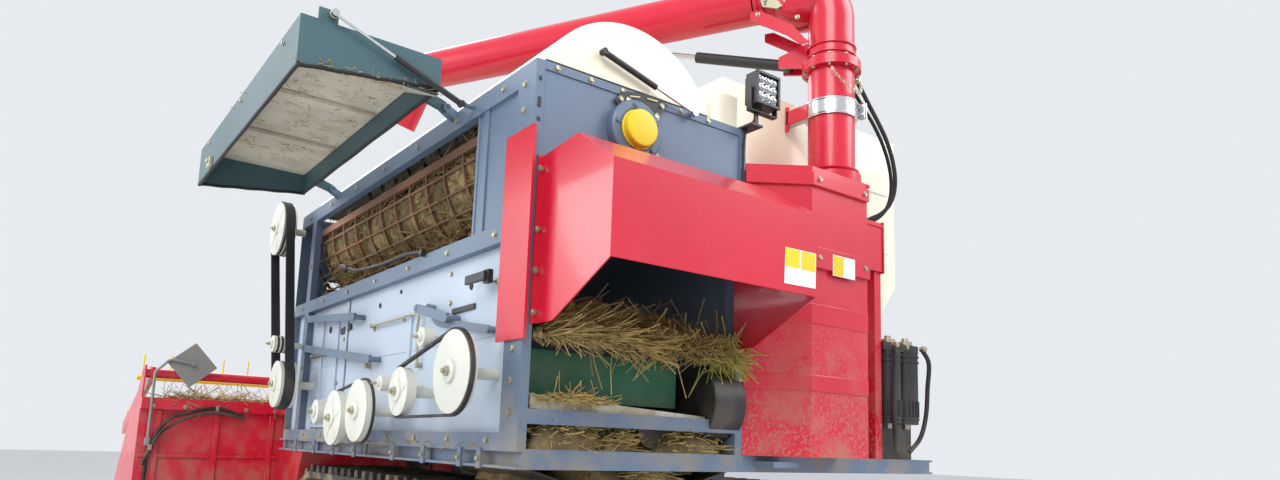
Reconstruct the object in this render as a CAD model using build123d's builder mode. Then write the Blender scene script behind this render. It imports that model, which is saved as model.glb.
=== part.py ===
"""Crawler combine harvester with a header, threshing drum, grain tank and swinging unloading tube.

Millimetres. In the helper functions below x runs right from the middle of the body, y runs forward
from the rear plane of the thresher, and z runs up from the ground. The two datum values put the
origin under the middle of the whole machine's outline.
"""

import math
import os

from build123d import *

os.makedirs("parts", exist_ok=True)

# Datums
body_x = 285.0
rear_y = -2135.0

# Deck of rails that carries the body
deck_half = 972.0
deck_top = 760.0
rail_depth = 56.0
rail_width = 50.0
deck_length = 2440.0
flange = 8.0

# Tracks
track_mid = 690.0
track_width = 420.0
belt_thick = 28.0
lug_height = 32.0
lug_pitch = 90.0
idler_y = 340.0
idler_radius = 258.0
sprocket_y = 2120.0
sprocket_z = 385.0
sprocket_radius = 196.0
lower_front_y = 1760.0
roller_radius = 80.0
roller_count = 5
play = 0.3

# Thresher box
thresher_left = -deck_half
thresher_right = -121.0
thresher_front = 2380.0
post_top = 1894.0
post_width = 30.0
sill_bottom = 1368.0
sill_top = 1425.0
lintel_bottom = 1829.0
drum_x = -620.0
drum_z = 1755.0
drum_radius = 286.0
concave_radius = 306.0
cover_radius = 352.0
sheet = 6.0

# Straw hood
hood_left = -935.0
hood_right = -161.0
hood_depth = 359.0
hood_sheet = 5.0

# Grain tank, column and unloading tube
column_rear = -140.0
column_left = 68.0
column_right = 372.0
column_top = 1775.0
tank_rear = 140.0
tank_front = 1290.0
tank_top = 2150.0
riser_x = 315.0
riser_y = -20.0
tube_d = 178.0
riser_top = 2250.0
tube_axis_z = 2600.0
tube_turn = 27.0
tube_length = 2060.0

# Header
header_left = -1534.0
header_right = 766.0
header_rear = 3000.0
header_front = 3860.0
header_floor = 240.0
header_top = 948.0
auger_y = 3262.0
auger_z = 458.0
auger_radius = 200.0
reel_y = 3960.0
reel_z = 790.0
bat_radius = 310.0
tine_length = 150.0
arm_pivot_y = 3010.0
arm_pivot_z = 1075.0
feeder_pivot_y = 2340.0
feeder_pivot_z = 1400.0


def spot(x, y, z):
    return Vector(body_x + x, rear_y + y, z)


def slab(x, y, z, mode=Mode.ADD):
    """A block between two x, two y and two z values."""
    with Locations(spot((x[0] + x[1]) / 2, (y[0] + y[1]) / 2, (z[0] + z[1]) / 2)):
        Box(x[1] - x[0], y[1] - y[0], z[1] - z[0], mode=mode)


def side_profile(points, x, mode=Mode.ADD):
    """A shape drawn in (y, z) as seen from the right side, between two x values."""
    plane = Plane(origin=spot(x[0], 0, 0), x_dir=(0, 1, 0), z_dir=(1, 0, 0))
    with BuildSketch(plane) as shape:
        Polygon(*points, align=None)
    extrude(shape.sketch, amount=x[1] - x[0], mode=mode)


def rear_profile(points, y, mode=Mode.ADD):
    """A shape drawn in (x, z) as seen from behind, between two y values."""
    plane = Plane(origin=spot(0, y[1], 0), x_dir=(1, 0, 0), z_dir=(0, -1, 0))
    with BuildSketch(plane) as shape:
        Polygon(*points, align=None)
    extrude(shape.sketch, amount=y[1] - y[0], mode=mode)


def plan_profile(points, z, mode=Mode.ADD):
    """A shape drawn in (x, y) as seen from above, between two z values."""
    with BuildSketch(Plane(origin=spot(0, 0, z[0]))) as shape:
        Polygon(*points, align=None)
    extrude(shape.sketch, amount=z[1] - z[0], mode=mode)


def rod(start, end, radius, mode=Mode.ADD):
    """A round bar between two spots."""
    first = spot(*start)
    way = spot(*end) - first
    with BuildSketch(Plane(origin=first, z_dir=way)) as ring:
        Circle(radius)
    extrude(ring.sketch, amount=way.length, mode=mode)


def bent_tube(points, radius, bend, bore=0.0):
    """A round tube along straight runs joined by arcs."""
    spots = [spot(*point) for point in points]
    with BuildLine() as path:
        FilletPolyline(*spots, radius=bend)
    start = Plane(origin=spots[0], z_dir=spots[1] - spots[0])
    with BuildSketch(start) as ring:
        Circle(radius)
        if bore:
            Circle(bore, mode=Mode.SUBTRACT)
    sweep(ring.sketch, path=path.line)


# Rear towing plate
tow_width = 120.0
tow_reach = 90.0
tow_thick = 20.0
tow_z = 732.0
tow_hole = 32.0
tow_hole_y = -50.0

# Header lift cylinder between the deck and the header
header_cylinder_x = -225.0
header_barrel_y = deck_length - 45.0
header_barrel_z = 655.0
header_rod_y = 2950.0
header_rod_z = 290.0
ear_gap = 58.0
ear_thick = 12.0
eye_width = ear_gap - 2 * play

# Deck frame: two side channels, five cross members and the legs down to the undercarriage
member_half = 25.0
cross_members = (member_half, 640.0, 1260.0, 1880.0, deck_length - member_half)
leg_x = 380.0
leg_width = 70.0
leg_rows = (700.0, 1560.0)
beam_top = 400.0
with BuildPart() as chassis_frame:
    for side in (-1, 1):
        outer = side * deck_half
        inner = side * (deck_half - rail_width)
        edges = (min(outer, inner), max(outer, inner))
        slab(edges, (0, deck_length), (deck_top - rail_depth, deck_top))
        groove = (outer - side * 26, outer + side)
        slab(
            (min(groove), max(groove)),
            (-1, deck_length + 1),
            (deck_top - rail_depth + flange, deck_top - flange),
            Mode.SUBTRACT,
        )
        slab(
            (side * leg_x - leg_width / 2, side * leg_x + leg_width / 2),
            (0, deck_length),
            (deck_top - rail_depth, deck_top),
        )
        for row in leg_rows:
            slab(
                (side * leg_x - leg_width / 2, side * leg_x + leg_width / 2),
                (row - 50, row + 50),
                (beam_top, deck_top - rail_depth),
            )
    for y in cross_members:
        slab(
            (-deck_half + 20, deck_half - 20),
            (y - member_half, y + member_half),
            (deck_top - rail_depth, deck_top),
        )
    slab((-tow_width / 2, tow_width / 2), (-tow_reach, 1), (tow_z - tow_thick / 2, tow_z + tow_thick / 2))
    rod((0, tow_hole_y, tow_z - tow_thick), (0, tow_hole_y, tow_z + tow_thick), tow_hole / 2, Mode.SUBTRACT)
    for side in (-1, 1):
        ear = header_cylinder_x + side * (ear_gap / 2 + ear_thick / 2)
        slab(
            (ear - ear_thick / 2, ear + ear_thick / 2),
            (header_barrel_y - 25, header_barrel_y + 25),
            (header_barrel_z - 25, deck_top - rail_depth + 1),
        )
    slab(
        (header_cylinder_x - 60, header_cylinder_x + 60),
        (header_barrel_y - 25, deck_length),
        (deck_top - rail_depth, deck_top),
    )
chassis_frame.part.label = "chassis_frame"
export_step(chassis_frame.part, "parts/chassis_frame.step")

# Track frames: a beam in each track with its rollers and idler
ground_gap = lug_height + belt_thick
idler_z = ground_gap + idler_radius
beam_half = 45.0
beam_bottom = 250.0
roller_first = 640.0
roller_step = (lower_front_y - roller_first) / (roller_count - 1)
roller_z = ground_gap + play + roller_radius
roller_half = 120.0
idler_half = 60.0
with BuildPart() as track_frames:
    for side in (-1, 1):
        mid = side * track_mid
        slab((mid - beam_half, mid + beam_half), (380, 1880), (beam_bottom, beam_top))
        rod((mid - idler_half, idler_y, idler_z), (mid + idler_half, idler_y, idler_z), idler_radius - play)
        for at in range(roller_count):
            y = roller_first + at * roller_step
            slab((mid - 30, mid + 30), (y - 35, y + 35), (roller_z - 30, beam_bottom))
            rod((mid - roller_half, y, roller_z), (mid + roller_half, y, roller_z), roller_radius)
track_frames.part.label = "track_frames"
export_step(track_frames.part, "parts/track_frames.step")

# Two cross tubes between the track frames, under the deck's legs
with BuildPart() as undercarriage:
    for row in leg_rows:
        slab((beam_half - track_mid, track_mid - beam_half), (row - 50, row + 50), (beam_top - 90, beam_top))
undercarriage.part.label = "undercarriage"
export_step(undercarriage.part, "parts/undercarriage.step")

# Drive axle: gearbox between the tracks with an axle tube and a toothed sprocket on each side
sprocket_teeth = 11
sprocket_half = 30.0
tooth_depth = 20.0
with BuildPart() as drive_axle:
    slab((-190, 190), (sprocket_y - 130, sprocket_y + 150), (sprocket_z - 170, sprocket_z + 220))
    for side in (-1, 1):
        slab(
            (side * leg_x - 30, side * leg_x + 30),
            (sprocket_y - 60, sprocket_y + 60),
            (sprocket_z + 60, deck_top - rail_depth),
        )
        rod((0, sprocket_y, sprocket_z), (side * (track_mid + 80), sprocket_y, sprocket_z), 62)
        middle = side * track_mid
        rod(
            (middle - sprocket_half, sprocket_y, sprocket_z),
            (middle + sprocket_half, sprocket_y, sprocket_z),
            sprocket_radius - tooth_depth - play,
        )
        for tooth in range(sprocket_teeth):
            turn = 2 * math.pi * tooth / sprocket_teeth
            reach = sprocket_radius - tooth_depth - 12
            y = sprocket_y + reach * math.cos(turn)
            z = sprocket_z + reach * math.sin(turn)
            rod((middle - sprocket_half, y, z), (middle + sprocket_half, y, z), 30)
drive_axle.part.label = "drive_axle"
export_step(drive_axle.part, "parts/drive_axle.step")


# Belt wheels in order along the loop, seen from the right: columns y, z, radius
belt_wheels = (
    (idler_y, idler_z, idler_radius),
    (lower_front_y, ground_gap + roller_radius, roller_radius),
    (sprocket_y, sprocket_z, sprocket_radius),
)


def loop_round(wheels, grow):
    """A closed loop round wheels (y, z, radius) taken anticlockwise, each radius larger by grow.

    Gives y, z, radius, start turn and end turn of the arc on each wheel; straight runs join the arcs.
    """
    turns = []
    for first, second in zip(wheels, wheels[1:] + wheels[:1]):
        way = (second[0] - first[0], second[1] - first[1])
        lean = math.atan2(way[1], way[0])
        turns.append(lean - math.acos((first[2] - second[2]) / math.hypot(*way)))
    pieces = []
    for at, (y, z, radius) in enumerate(wheels):
        start = turns[at - 1]
        end = turns[at]
        while end < start:
            end += 2 * math.pi
        pieces.append((y, z, radius + grow, start, end))
    return pieces


def belt_spot(pieces, along):
    """Place and outward direction at a distance along the outline."""
    left = along
    for at, (y, z, radius, start, end) in enumerate(pieces):
        arc = radius * (end - start)
        if left <= arc:
            turn = start + left / radius
            return y + radius * math.cos(turn), z + radius * math.sin(turn), turn
        left -= arc
        y2, z2, radius2, start2, _ = pieces[(at + 1) % len(pieces)]
        a = (y + radius * math.cos(end), z + radius * math.sin(end))
        b = (y2 + radius2 * math.cos(start2), z2 + radius2 * math.sin(start2))
        run = math.hypot(b[0] - a[0], b[1] - a[1])
        if left <= run:
            share = left / run
            return a[0] + share * (b[0] - a[0]), a[1] + share * (b[1] - a[1]), end
        left -= run
    return belt_spot(pieces, left)


def belt_length(pieces):
    total = 0.0
    for at, (y, z, radius, start, end) in enumerate(pieces):
        y2, z2, radius2, start2, _ = pieces[(at + 1) % len(pieces)]
        a = (y + radius * math.cos(end), z + radius * math.sin(end))
        b = (y2 + radius2 * math.cos(start2), z2 + radius2 * math.sin(start2))
        total += radius * (end - start) + math.hypot(b[0] - a[0], b[1] - a[1])
    return total


def belt_face(pieces):
    """The closed outline as a face made of lines and arcs."""
    with BuildLine() as edge:
        for at, (y, z, radius, start, end) in enumerate(pieces):
            CenterArc((y, z), radius, math.degrees(start), math.degrees(end - start))
            y2, z2, radius2, start2, _ = pieces[(at + 1) % len(pieces)]
            Line(
                (y + radius * math.cos(end), z + radius * math.sin(end)),
                (y2 + radius2 * math.cos(start2), z2 + radius2 * math.sin(start2)),
            )
    make_face(edge.edges())


def lug_row(pieces, count, shift, foot, tip):
    """Trapezoid lugs standing outward on the outline."""
    step = belt_length(pieces) / count
    for number in range(count):
        y, z, turn = belt_spot(pieces, (number + shift) * step)
        out = (math.cos(turn), math.sin(turn))
        side = (-out[1], out[0])
        corners = []
        for reach, half in ((-3.0, -foot), (-3.0, foot), (lug_height, tip), (lug_height, -tip)):
            corners.append((y + reach * out[0] + half * side[0], z + reach * out[1] + half * side[1]))
        Polygon(*corners, align=None)


# Tracks: one loop each, with two rows of lugs half a pitch apart
lug_foot = 24.0
lug_tip = 16.0
belt_inner = loop_round(belt_wheels, 0.0)
belt_outer = loop_round(belt_wheels, belt_thick)
lug_count = round(belt_length(belt_outer) / lug_pitch)
for track_name, track_side in (("left_track", -1), ("right_track", 1)):
    track_start = track_side * track_mid - track_width / 2
    belt_plane = Plane(origin=spot(track_start, 0, 0), x_dir=(0, 1, 0), z_dir=(1, 0, 0))
    with BuildPart() as track:
        with BuildSketch(belt_plane):
            belt_face(belt_outer)
        extrude(amount=track_width)
        with BuildSketch(belt_plane):
            belt_face(belt_inner)
        extrude(amount=track_width, mode=Mode.SUBTRACT)
        for shift in (0.0, 0.5):
            row_start = shift * (track_width - 16) + 8
            row_plane = belt_plane.offset(row_start)
            with BuildSketch(row_plane):
                lug_row(belt_outer, lug_count, shift, lug_foot, lug_tip)
            extrude(amount=track_width / 2 - 8)
    track.part.label = track_name
    export_step(track.part, "parts/" + track_name + ".step")

# Thresher frame: posts, sills, lintels, the front wall and the inner side wall
front_post_y = (2130.0, 2190.0)
panel_outer = thresher_left + post_width
side_inner = panel_outer + play + sheet
side_hinge_x = -1006.0
side_hinge_z = 1905.0
side_hinge_rows = (560.0, 1800.0)
inlet = (-826.0, -266.0)
with BuildPart() as thresher_frame:
    slab((thresher_left, thresher_left + post_width), (0, 104), (deck_top, post_top))
    slab((thresher_right - post_width, thresher_right), (0, 60), (deck_top, post_top))
    slab((thresher_left, thresher_left + post_width), front_post_y, (deck_top, post_top))
    slab((thresher_left, thresher_left + post_width), (0, thresher_front), (sill_bottom, sill_top))
    slab((thresher_left, thresher_left + post_width), (0, thresher_front), (lintel_bottom, post_top))
    slab((thresher_left, thresher_left + post_width), (0, thresher_front), (deck_top, deck_top + 44))
    slab((thresher_right - sheet, thresher_right), (0, thresher_front), (deck_top, post_top))
    slab((thresher_left, thresher_right), (thresher_front - sheet, thresher_front), (deck_top, post_top))
    slab(
        inlet,
        (thresher_front - sheet - 1, thresher_front + 1),
        (1095, 1575),
        Mode.SUBTRACT,
    )
    slab((thresher_left, thresher_right), (0, 30), (post_top - 26, post_top))
    slab((thresher_left, thresher_right), (0, 40), (830, 872))
    rod((thresher_left + 5, 402, 1865), (-1010 + play, 402, 1865), 8)
    rod((-382, 5, 1880), (-382, -9 + play, 1880), 7)
    rod((side_inner + play, feeder_pivot_y, feeder_pivot_z), (thresher_right - 1, feeder_pivot_y, feeder_pivot_z), 25)
    for y in side_hinge_rows:
        for way in (-1, 1):
            side_ear = (y + way * 18 - 4, y + way * 18 + 4)
            rear_profile(
                ((thresher_left + 2, post_top), (side_hinge_x - 14, side_hinge_z + 12), (side_hinge_x - 14, side_hinge_z - 10),
                 (thresher_left + 2, side_hinge_z - 40)),
                side_ear,
            )
            rod(
                (side_hinge_x, side_ear[0] - 1, side_hinge_z),
                (side_hinge_x, side_ear[1] + 1, side_hinge_z),
                8 + play,
                Mode.SUBTRACT,
            )
thresher_frame.part.label = "thresher_frame"
export_step(thresher_frame.part, "parts/thresher_frame.step")

# Lower left side panels with the fan louvres
louvre_count = 7
louvre_y = (1700.0, 2040.0)
with BuildPart() as thresher_side_panel:
    slab(
        (thresher_left + post_width + play, thresher_left + post_width + play + sheet),
        (40 + play, thresher_front - sheet - play),
        (deck_top + play, sill_top),
    )
    for at in range(louvre_count):
        z = 790 + at * 24
        slab(
            (thresher_left, thresher_left + post_width + 30),
            louvre_y,
            (z, z + 12),
            Mode.SUBTRACT,
        )
thresher_side_panel.part.label = "thresher_side_panel"
export_step(thresher_side_panel.part, "parts/thresher_side_panel.step")

# Upper rear panel with the drum's bearing hole
shaft_hole = 70.0
upper_panel_bottom = 1560.0
with BuildPart() as upper_rear_panel:
    slab(
        (thresher_left + post_width + play, thresher_right - post_width - play),
        (4, 4 + sheet),
        (upper_panel_bottom, post_top - 26 - play),
    )
    rod((drum_x, -1, drum_z), (drum_x, 20, drum_z), shaft_hole, Mode.SUBTRACT)
upper_rear_panel.part.label = "upper_rear_panel"
export_step(upper_rear_panel.part, "parts/upper_rear_panel.step")

# Bearing housing and its domed cap
cap_radius = 60.0
shaft_radius = 30.0
with BuildPart() as shaft_cap:
    rod((drum_x, -34, drum_z), (drum_x, 4 - play, drum_z), shaft_hole + 26)
    rod((drum_x, -62, drum_z), (drum_x, -30, drum_z), cap_radius)
    fillet(shaft_cap.edges().filter_by(GeomType.CIRCLE).sort_by(Axis.Y)[0], 14)
    rod((drum_x, -30, drum_z), (drum_x, 10, drum_z), shaft_radius + play, Mode.SUBTRACT)
shaft_cap.part.label = "shaft_cap"
export_step(shaft_cap.part, "parts/shaft_cap.step")

# Threshing drum: shaft, discs and toothed bars
disc_rows = (120.0, 640.0, 1160.0, 1680.0, 2200.0)
bar_count = 6
tooth_rows = 12
bar_reach = drum_radius - 66
with BuildPart() as threshing_drum:
    rod((drum_x, -28, drum_z), (drum_x, 2330, drum_z), shaft_radius)
    for y in disc_rows:
        rod((drum_x, y - 5, drum_z), (drum_x, y + 5, drum_z), bar_reach)
    for bar in range(bar_count):
        turn = 2 * math.pi * bar / bar_count
        x = drum_x + bar_reach * math.cos(turn)
        z = drum_z + bar_reach * math.sin(turn)
        rod((x, 110, z), (x, 2210, z), 17)
        for tooth in range(tooth_rows):
            y = 190 + tooth * 168 + (bar % 2) * 84
            tip_x = drum_x + drum_radius * math.cos(turn)
            tip_z = drum_z + drum_radius * math.sin(turn)
            rod((x, y, z), (tip_x, y, tip_z), 7)
threshing_drum.part.label = "threshing_drum"
export_step(threshing_drum.part, "parts/threshing_drum.step")

# Concave grate: half rings under the drum joined by long bars
ring_count = 15
grate_bars = 13
with BuildPart() as concave_grate:
    grate_plane = Plane(origin=spot(drum_x, 70, drum_z), x_dir=(1, 0, 0), z_dir=(0, -1, 0))
    for ring in range(ring_count):
        with BuildSketch(grate_plane.offset(-ring * 158.0)):
            Circle(concave_radius + 12)
            Circle(concave_radius, mode=Mode.SUBTRACT)
            with Locations((0, concave_radius / 2 + 10)):
                Rectangle(2 * concave_radius + 60, concave_radius + 20, mode=Mode.SUBTRACT)
        extrude(amount=-8)
    for bar in range(grate_bars):
        turn = math.pi * (1 + (bar + 0.5) / grate_bars)
        x = drum_x + (concave_radius + 6) * math.cos(turn)
        z = drum_z + (concave_radius + 6) * math.sin(turn)
        rod((x, 70, z), (x, 70 + (ring_count - 1) * 158.0 + 8, z), 5)
    slab((thresher_left + post_width + play, drum_x - concave_radius), (70, 2290), (drum_z - 2, drum_z + 30))
    slab((drum_x + concave_radius, drum_x + concave_radius + 12), (70, 2290), (drum_z - 2, drum_z + 30))
concave_grate.part.label = "concave_grate"
export_step(concave_grate.part, "parts/concave_grate.step")

# Sieve box: green tail board, side boards and the sieve plate inside
sieve_left = -885.0
sieve_right = -330.0
with BuildPart() as sieve_box:
    slab((sieve_left, sieve_right), (100, 108), (905, 1052))
    slab((sieve_left, sieve_left + 8), (100, 1900), (905, 1052))
    slab((sieve_right - 8, sieve_right), (100, 1900), (905, 1052))
    slab((sieve_left, sieve_right), (100, 1900), (1040, 1052))
    for y in (300.0, 1700.0):
        rod((panel_outer + 2 * play + sheet, y, 985), (thresher_right - sheet - play, y, 985), 14)
sieve_box.part.label = "sieve_box"
export_step(sieve_box.part, "parts/sieve_box.step")

# Chaff trough under the sieve, open to the rear
with BuildPart() as chaff_trough:
    rear_profile(
        ((-900, 900), (-900, 700), (-700, 640), (-330, 640), (-130, 700), (-130, 900),
         (-136, 900), (-136, 705), (-331, 646), (-699, 646), (-894, 705), (-894, 900)),
        (60, 600),
    )
chaff_trough.part.label = "chaff_trough"
export_step(chaff_trough.part, "parts/chaff_trough.step")

# Straw hood: two side plates, a sloping top and a rear plate, open underneath
hood_outline = ((0, 1600), (-187, 1619), (-hood_depth, 1507), (-hood_depth, 1246), (-93, 1110), (0, 1110))
with BuildPart() as straw_hood:
    side_profile(hood_outline, (hood_left, hood_left + hood_sheet))
    side_profile(hood_outline, (hood_right - hood_sheet, hood_right))
    side_profile(
        ((0, 1600), (-187, 1619), (-hood_depth, 1507), (-hood_depth, 1246),
         (-hood_depth + 5, 1246), (-hood_depth + 5, 1504), (-186, 1613), (0, 1594)),
        (hood_left, hood_right),
    )
    slab((hood_left - 18, hood_left + 5), (-6, 0), (1110, 1600))
    slab((hood_right - 5, hood_right + 30), (-6, 0), (1110, 1600))
straw_hood.part.label = "straw_hood"
export_step(straw_hood.part, "parts/straw_hood.step")

# Red plate on the left rear post
with BuildPart() as post_plate:
    slab((thresher_left - 8, thresher_left), (-20, 145), (1063, 1684))
post_plate.part.label = "post_plate"
export_step(post_plate.part, "parts/post_plate.step")

# Pulleys on the left side: columns y, z, radius, rim width, hub radius
pulley_x = -1075.0
pulley_table = (
    (195.0, 973.0, 120.0, 26.0, 34.0),
    (583.0, 928.0, 78.0, 30.0, 26.0),
    (420.0, 1091.0, 31.0, 34.0, 14.0),
    (975.0, 872.0, 110.0, 30.0, 30.0),
    (749.0, 960.0, 26.0, 34.0, 12.0),
    (1239.0, 848.0, 103.0, 30.0, 28.0),
    (1461.0, 874.0, 48.0, 34.0, 20.0),
    (2050.0, 1008.0, 106.0, 74.0, 34.0),
    (2170.0, 1204.0, 40.0, 74.0, 16.0),
    (2330.0, 1800.0, 132.0, 60.0, 34.0),
)
with BuildPart() as drive_pulleys:
    for y, z, radius, width, hub in pulley_table:
        rod((pulley_x - width / 2, y, z), (pulley_x + width / 2, y, z), radius)
        if radius > 60:
            rod((pulley_x - width / 2 - 1, y, z), (pulley_x - 7, y, z), radius - 14, Mode.SUBTRACT)
            rod((pulley_x + 7, y, z), (pulley_x + width / 2 + 1, y, z), radius - 14, Mode.SUBTRACT)
            rod((pulley_x - width / 2, y, z), (pulley_x + width / 2, y, z), hub)
        inner_end = panel_outer if y < front_post_y[0] else thresher_left
        rod((pulley_x, y, z), (inner_end - play, y, z), min(hub, 20.0) - 2)
drive_pulleys.part.label = "drive_pulleys"
export_step(drive_pulleys.part, "parts/drive_pulleys.step")


def belt_strip(first, second, x, thick):
    """A flat belt round two pulleys, as a band between two outlines."""
    plane = Plane(origin=spot(x[0], 0, 0), x_dir=(0, 1, 0), z_dir=(1, 0, 0))
    for grow, mode in ((thick, Mode.ADD), (play, Mode.SUBTRACT)):
        with BuildSketch(plane) as band:
            belt_face(loop_round((first, second), grow))
        extrude(band.sketch, amount=x[1] - x[0], mode=mode)


# Belts: columns first pulley, second pulley, left edge, right edge
belt_pairs = ((0, 1, -1086.0, -1074.0), (3, 5, -1070.0, -1062.0), (7, 9, -1100.0, -1060.0))
with BuildPart() as drive_belts:
    for first, second, left, right in belt_pairs:
        belt_strip(pulley_table[first][:3], pulley_table[second][:3], (left, right), 9.0)
drive_belts.part.label = "drive_belts"
export_step(drive_belts.part, "parts/drive_belts.step")

# Tension levers: columns start y, z and end y, z
lever_x = -984.0
lever_table = (
    (2100.0, 1330.0, 1400.0, 1270.0),
    (2100.0, 1190.0, 1180.0, 1080.0),
    (740.0, 1230.0, 480.0, 1170.0),
)
with BuildPart() as tension_levers:
    for y1, z1, y2, z2 in lever_table:
        lean = math.atan2(z2 - z1, y2 - y1)
        dy = 16 * math.sin(lean)
        dz = 16 * math.cos(lean)
        side_profile(
            ((y1 - dy, z1 + dz), (y1 + dy, z1 - dz), (y2 + dy, z2 - dz), (y2 - dy, z2 + dz)),
            (lever_x - 6, lever_x + 6),
        )
        for y, z in ((y1, z1), (y2, z2)):
            reach = thresher_left if z > sill_bottom or y > front_post_y[0] else panel_outer
            rod((lever_x - 8, y, z), (reach - play, y, z), 11)
tension_levers.part.label = "tension_levers"
export_step(tension_levers.part, "parts/tension_levers.step")

# Rear column: a slanted left wall, a flat rear wall and a stepped right side
column_front = 130.0
with BuildPart() as rear_column:
    plan_profile(
        ((thresher_right + 1, 0), (column_left, column_rear), (column_right, column_rear),
         (column_right, column_front), (thresher_right + 1, column_front)),
        (deck_top, column_top),
    )
    slab((column_right - 1, 640), (-10, column_front), (1500, 1700))
    rod((riser_x, riser_y, column_top - 12), (riser_x, riser_y, column_top + 1), tube_d / 2 + 30, Mode.SUBTRACT)
    slab((600, 640), (0, 40), (deck_top, 1501))
rear_column.part.label = "rear_column"
export_step(rear_column.part, "parts/rear_column.step")

# Grain tank: cream body with sloping lower sides and a lid frame
tank_left = -108.0
tank_right = 930.0
with BuildPart() as grain_tank:
    rear_profile(
        ((tank_left, tank_top), (tank_left, 1500), (200, 1180), (700, 1180), (tank_right, 1500),
         (tank_right, tank_top)),
        (tank_rear, tank_front),
    )
    slab((tank_left + 60, tank_right - 60), (tank_rear + 60, tank_front - 60), (tank_top, tank_top + 26))
    rear_profile(
        ((tank_left + 5, tank_top - 5), (tank_left + 5, 1503), (203, 1185), (697, 1185), (tank_right - 5, 1503),
         (tank_right - 5, tank_top - 5)),
        (tank_rear + 5, tank_front - 5),
        Mode.SUBTRACT,
    )
grain_tank.part.label = "grain_tank"
export_step(grain_tank.part, "parts/grain_tank.step")

# Fixed lower length of the unloading tube with its foot
with BuildPart() as tube_riser:
    rod((riser_x, riser_y, column_top - 12 + play), (riser_x, riser_y, column_top + 40), tube_d / 2 + 22)
    rod((riser_x, riser_y, column_top + 20), (riser_x, riser_y, riser_top), tube_d / 2)
    rod((riser_x, riser_y, riser_top - 16), (riser_x, riser_y, riser_top), tube_d / 2 + 24)
    rod((riser_x, riser_y, column_top - 20), (riser_x, riser_y, riser_top + 1), tube_d / 2 - 5, Mode.SUBTRACT)
tube_riser.part.label = "tube_riser"
export_step(tube_riser.part, "parts/tube_riser.step")

# Band clamp and its arm to the tank
clamp_z = (2040.0, 2105.0)
with BuildPart() as tube_clamp:
    rod((riser_x, riser_y, clamp_z[0]), (riser_x, riser_y, clamp_z[1]), tube_d / 2 + 9)
    slab((230, 262), (riser_y, tank_rear - play), (clamp_z[0] + 6, clamp_z[1] - 6))
    rod((riser_x, riser_y, clamp_z[0] - 1), (riser_x, riser_y, clamp_z[1] + 1), tube_d / 2 + play, Mode.SUBTRACT)
tube_clamp.part.label = "tube_clamp"
export_step(tube_clamp.part, "parts/tube_clamp.step")

# Swivel elbow: turns about the riser and carries the tube's pivot ears
tube_lean = math.radians(tube_turn)
ahead = (-math.sin(tube_lean), math.cos(tube_lean))
across = (ahead[1], -ahead[0])
elbow_bottom = riser_top + play
joint_along = 300.0


def along_tube(distance, sideways=0.0):
    """Plan place at a distance from the riser along the tube and to its right."""
    x = riser_x + distance * ahead[0] + sideways * across[0]
    y = riser_y + distance * ahead[1] + sideways * across[1]
    return x, y


def tube_plate(points, sideways):
    """A plate drawn in (distance along the tube, z), between two sideways values."""
    corner = along_tube(0, sideways[0])
    plane = Plane(
        origin=spot(corner[0], corner[1], 0),
        x_dir=(ahead[0], ahead[1], 0),
        z_dir=(across[0], across[1], 0),
    )
    with BuildSketch(plane) as shape:
        Polygon(*points, align=None)
    extrude(shape.sketch, amount=sideways[1] - sideways[0])


# Unloading lift: hinge above the joint between elbow and tube, cylinder below it
ear_half = tube_d / 2 + 12
lift_along = joint_along + 4.0
lift_z = tube_axis_z + tube_d / 2 + 22.0
lift_pin = 12.0
boom_barrel_along = 180.0
boom_barrel_z = 2300.0
boom_rod_along = 800.0
boom_rod_z = tube_axis_z - tube_d / 2 - 38.0
with BuildPart() as swivel_elbow:
    bent_tube(
        ((riser_x, riser_y, elbow_bottom), (riser_x, riser_y, tube_axis_z), (*along_tube(joint_along), tube_axis_z)),
        tube_d / 2,
        150.0,
        tube_d / 2 - 5,
    )
    rod((riser_x, riser_y, elbow_bottom), (riser_x, riser_y, elbow_bottom + 18), tube_d / 2 + 24)
    rod((riser_x, riser_y, elbow_bottom - 1), (riser_x, riser_y, elbow_bottom + 19), tube_d / 2 - 5, Mode.SUBTRACT)
    for side in (-1, 1):
        reach = sorted((side * 20.0, side * 30.0))
        tube_plate(
            ((joint_along - 90, tube_axis_z + 80), (joint_along - 6, tube_axis_z + 80),
             (lift_along + 18, lift_z - 10), (lift_along + 18, lift_z + 16), (lift_along - 22, lift_z + 16)),
            reach,
        )
        reach = sorted((side * ear_gap / 2, side * (ear_gap / 2 + ear_thick)))
        tube_plate(
            ((tube_d / 2 - 4, boom_barrel_z - 40), (boom_barrel_along + 20, boom_barrel_z - 22),
             (boom_barrel_along + 20, boom_barrel_z + 22), (tube_d / 2 - 4, boom_barrel_z + 60)),
            reach,
        )
    pin_ends = [(*along_tube(lift_along, side * 30.0), lift_z) for side in (-1, 1)]
    rod(pin_ends[0], pin_ends[1], lift_pin)
swivel_elbow.part.label = "swivel_elbow"
export_step(swivel_elbow.part, "parts/swivel_elbow.step")

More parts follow.
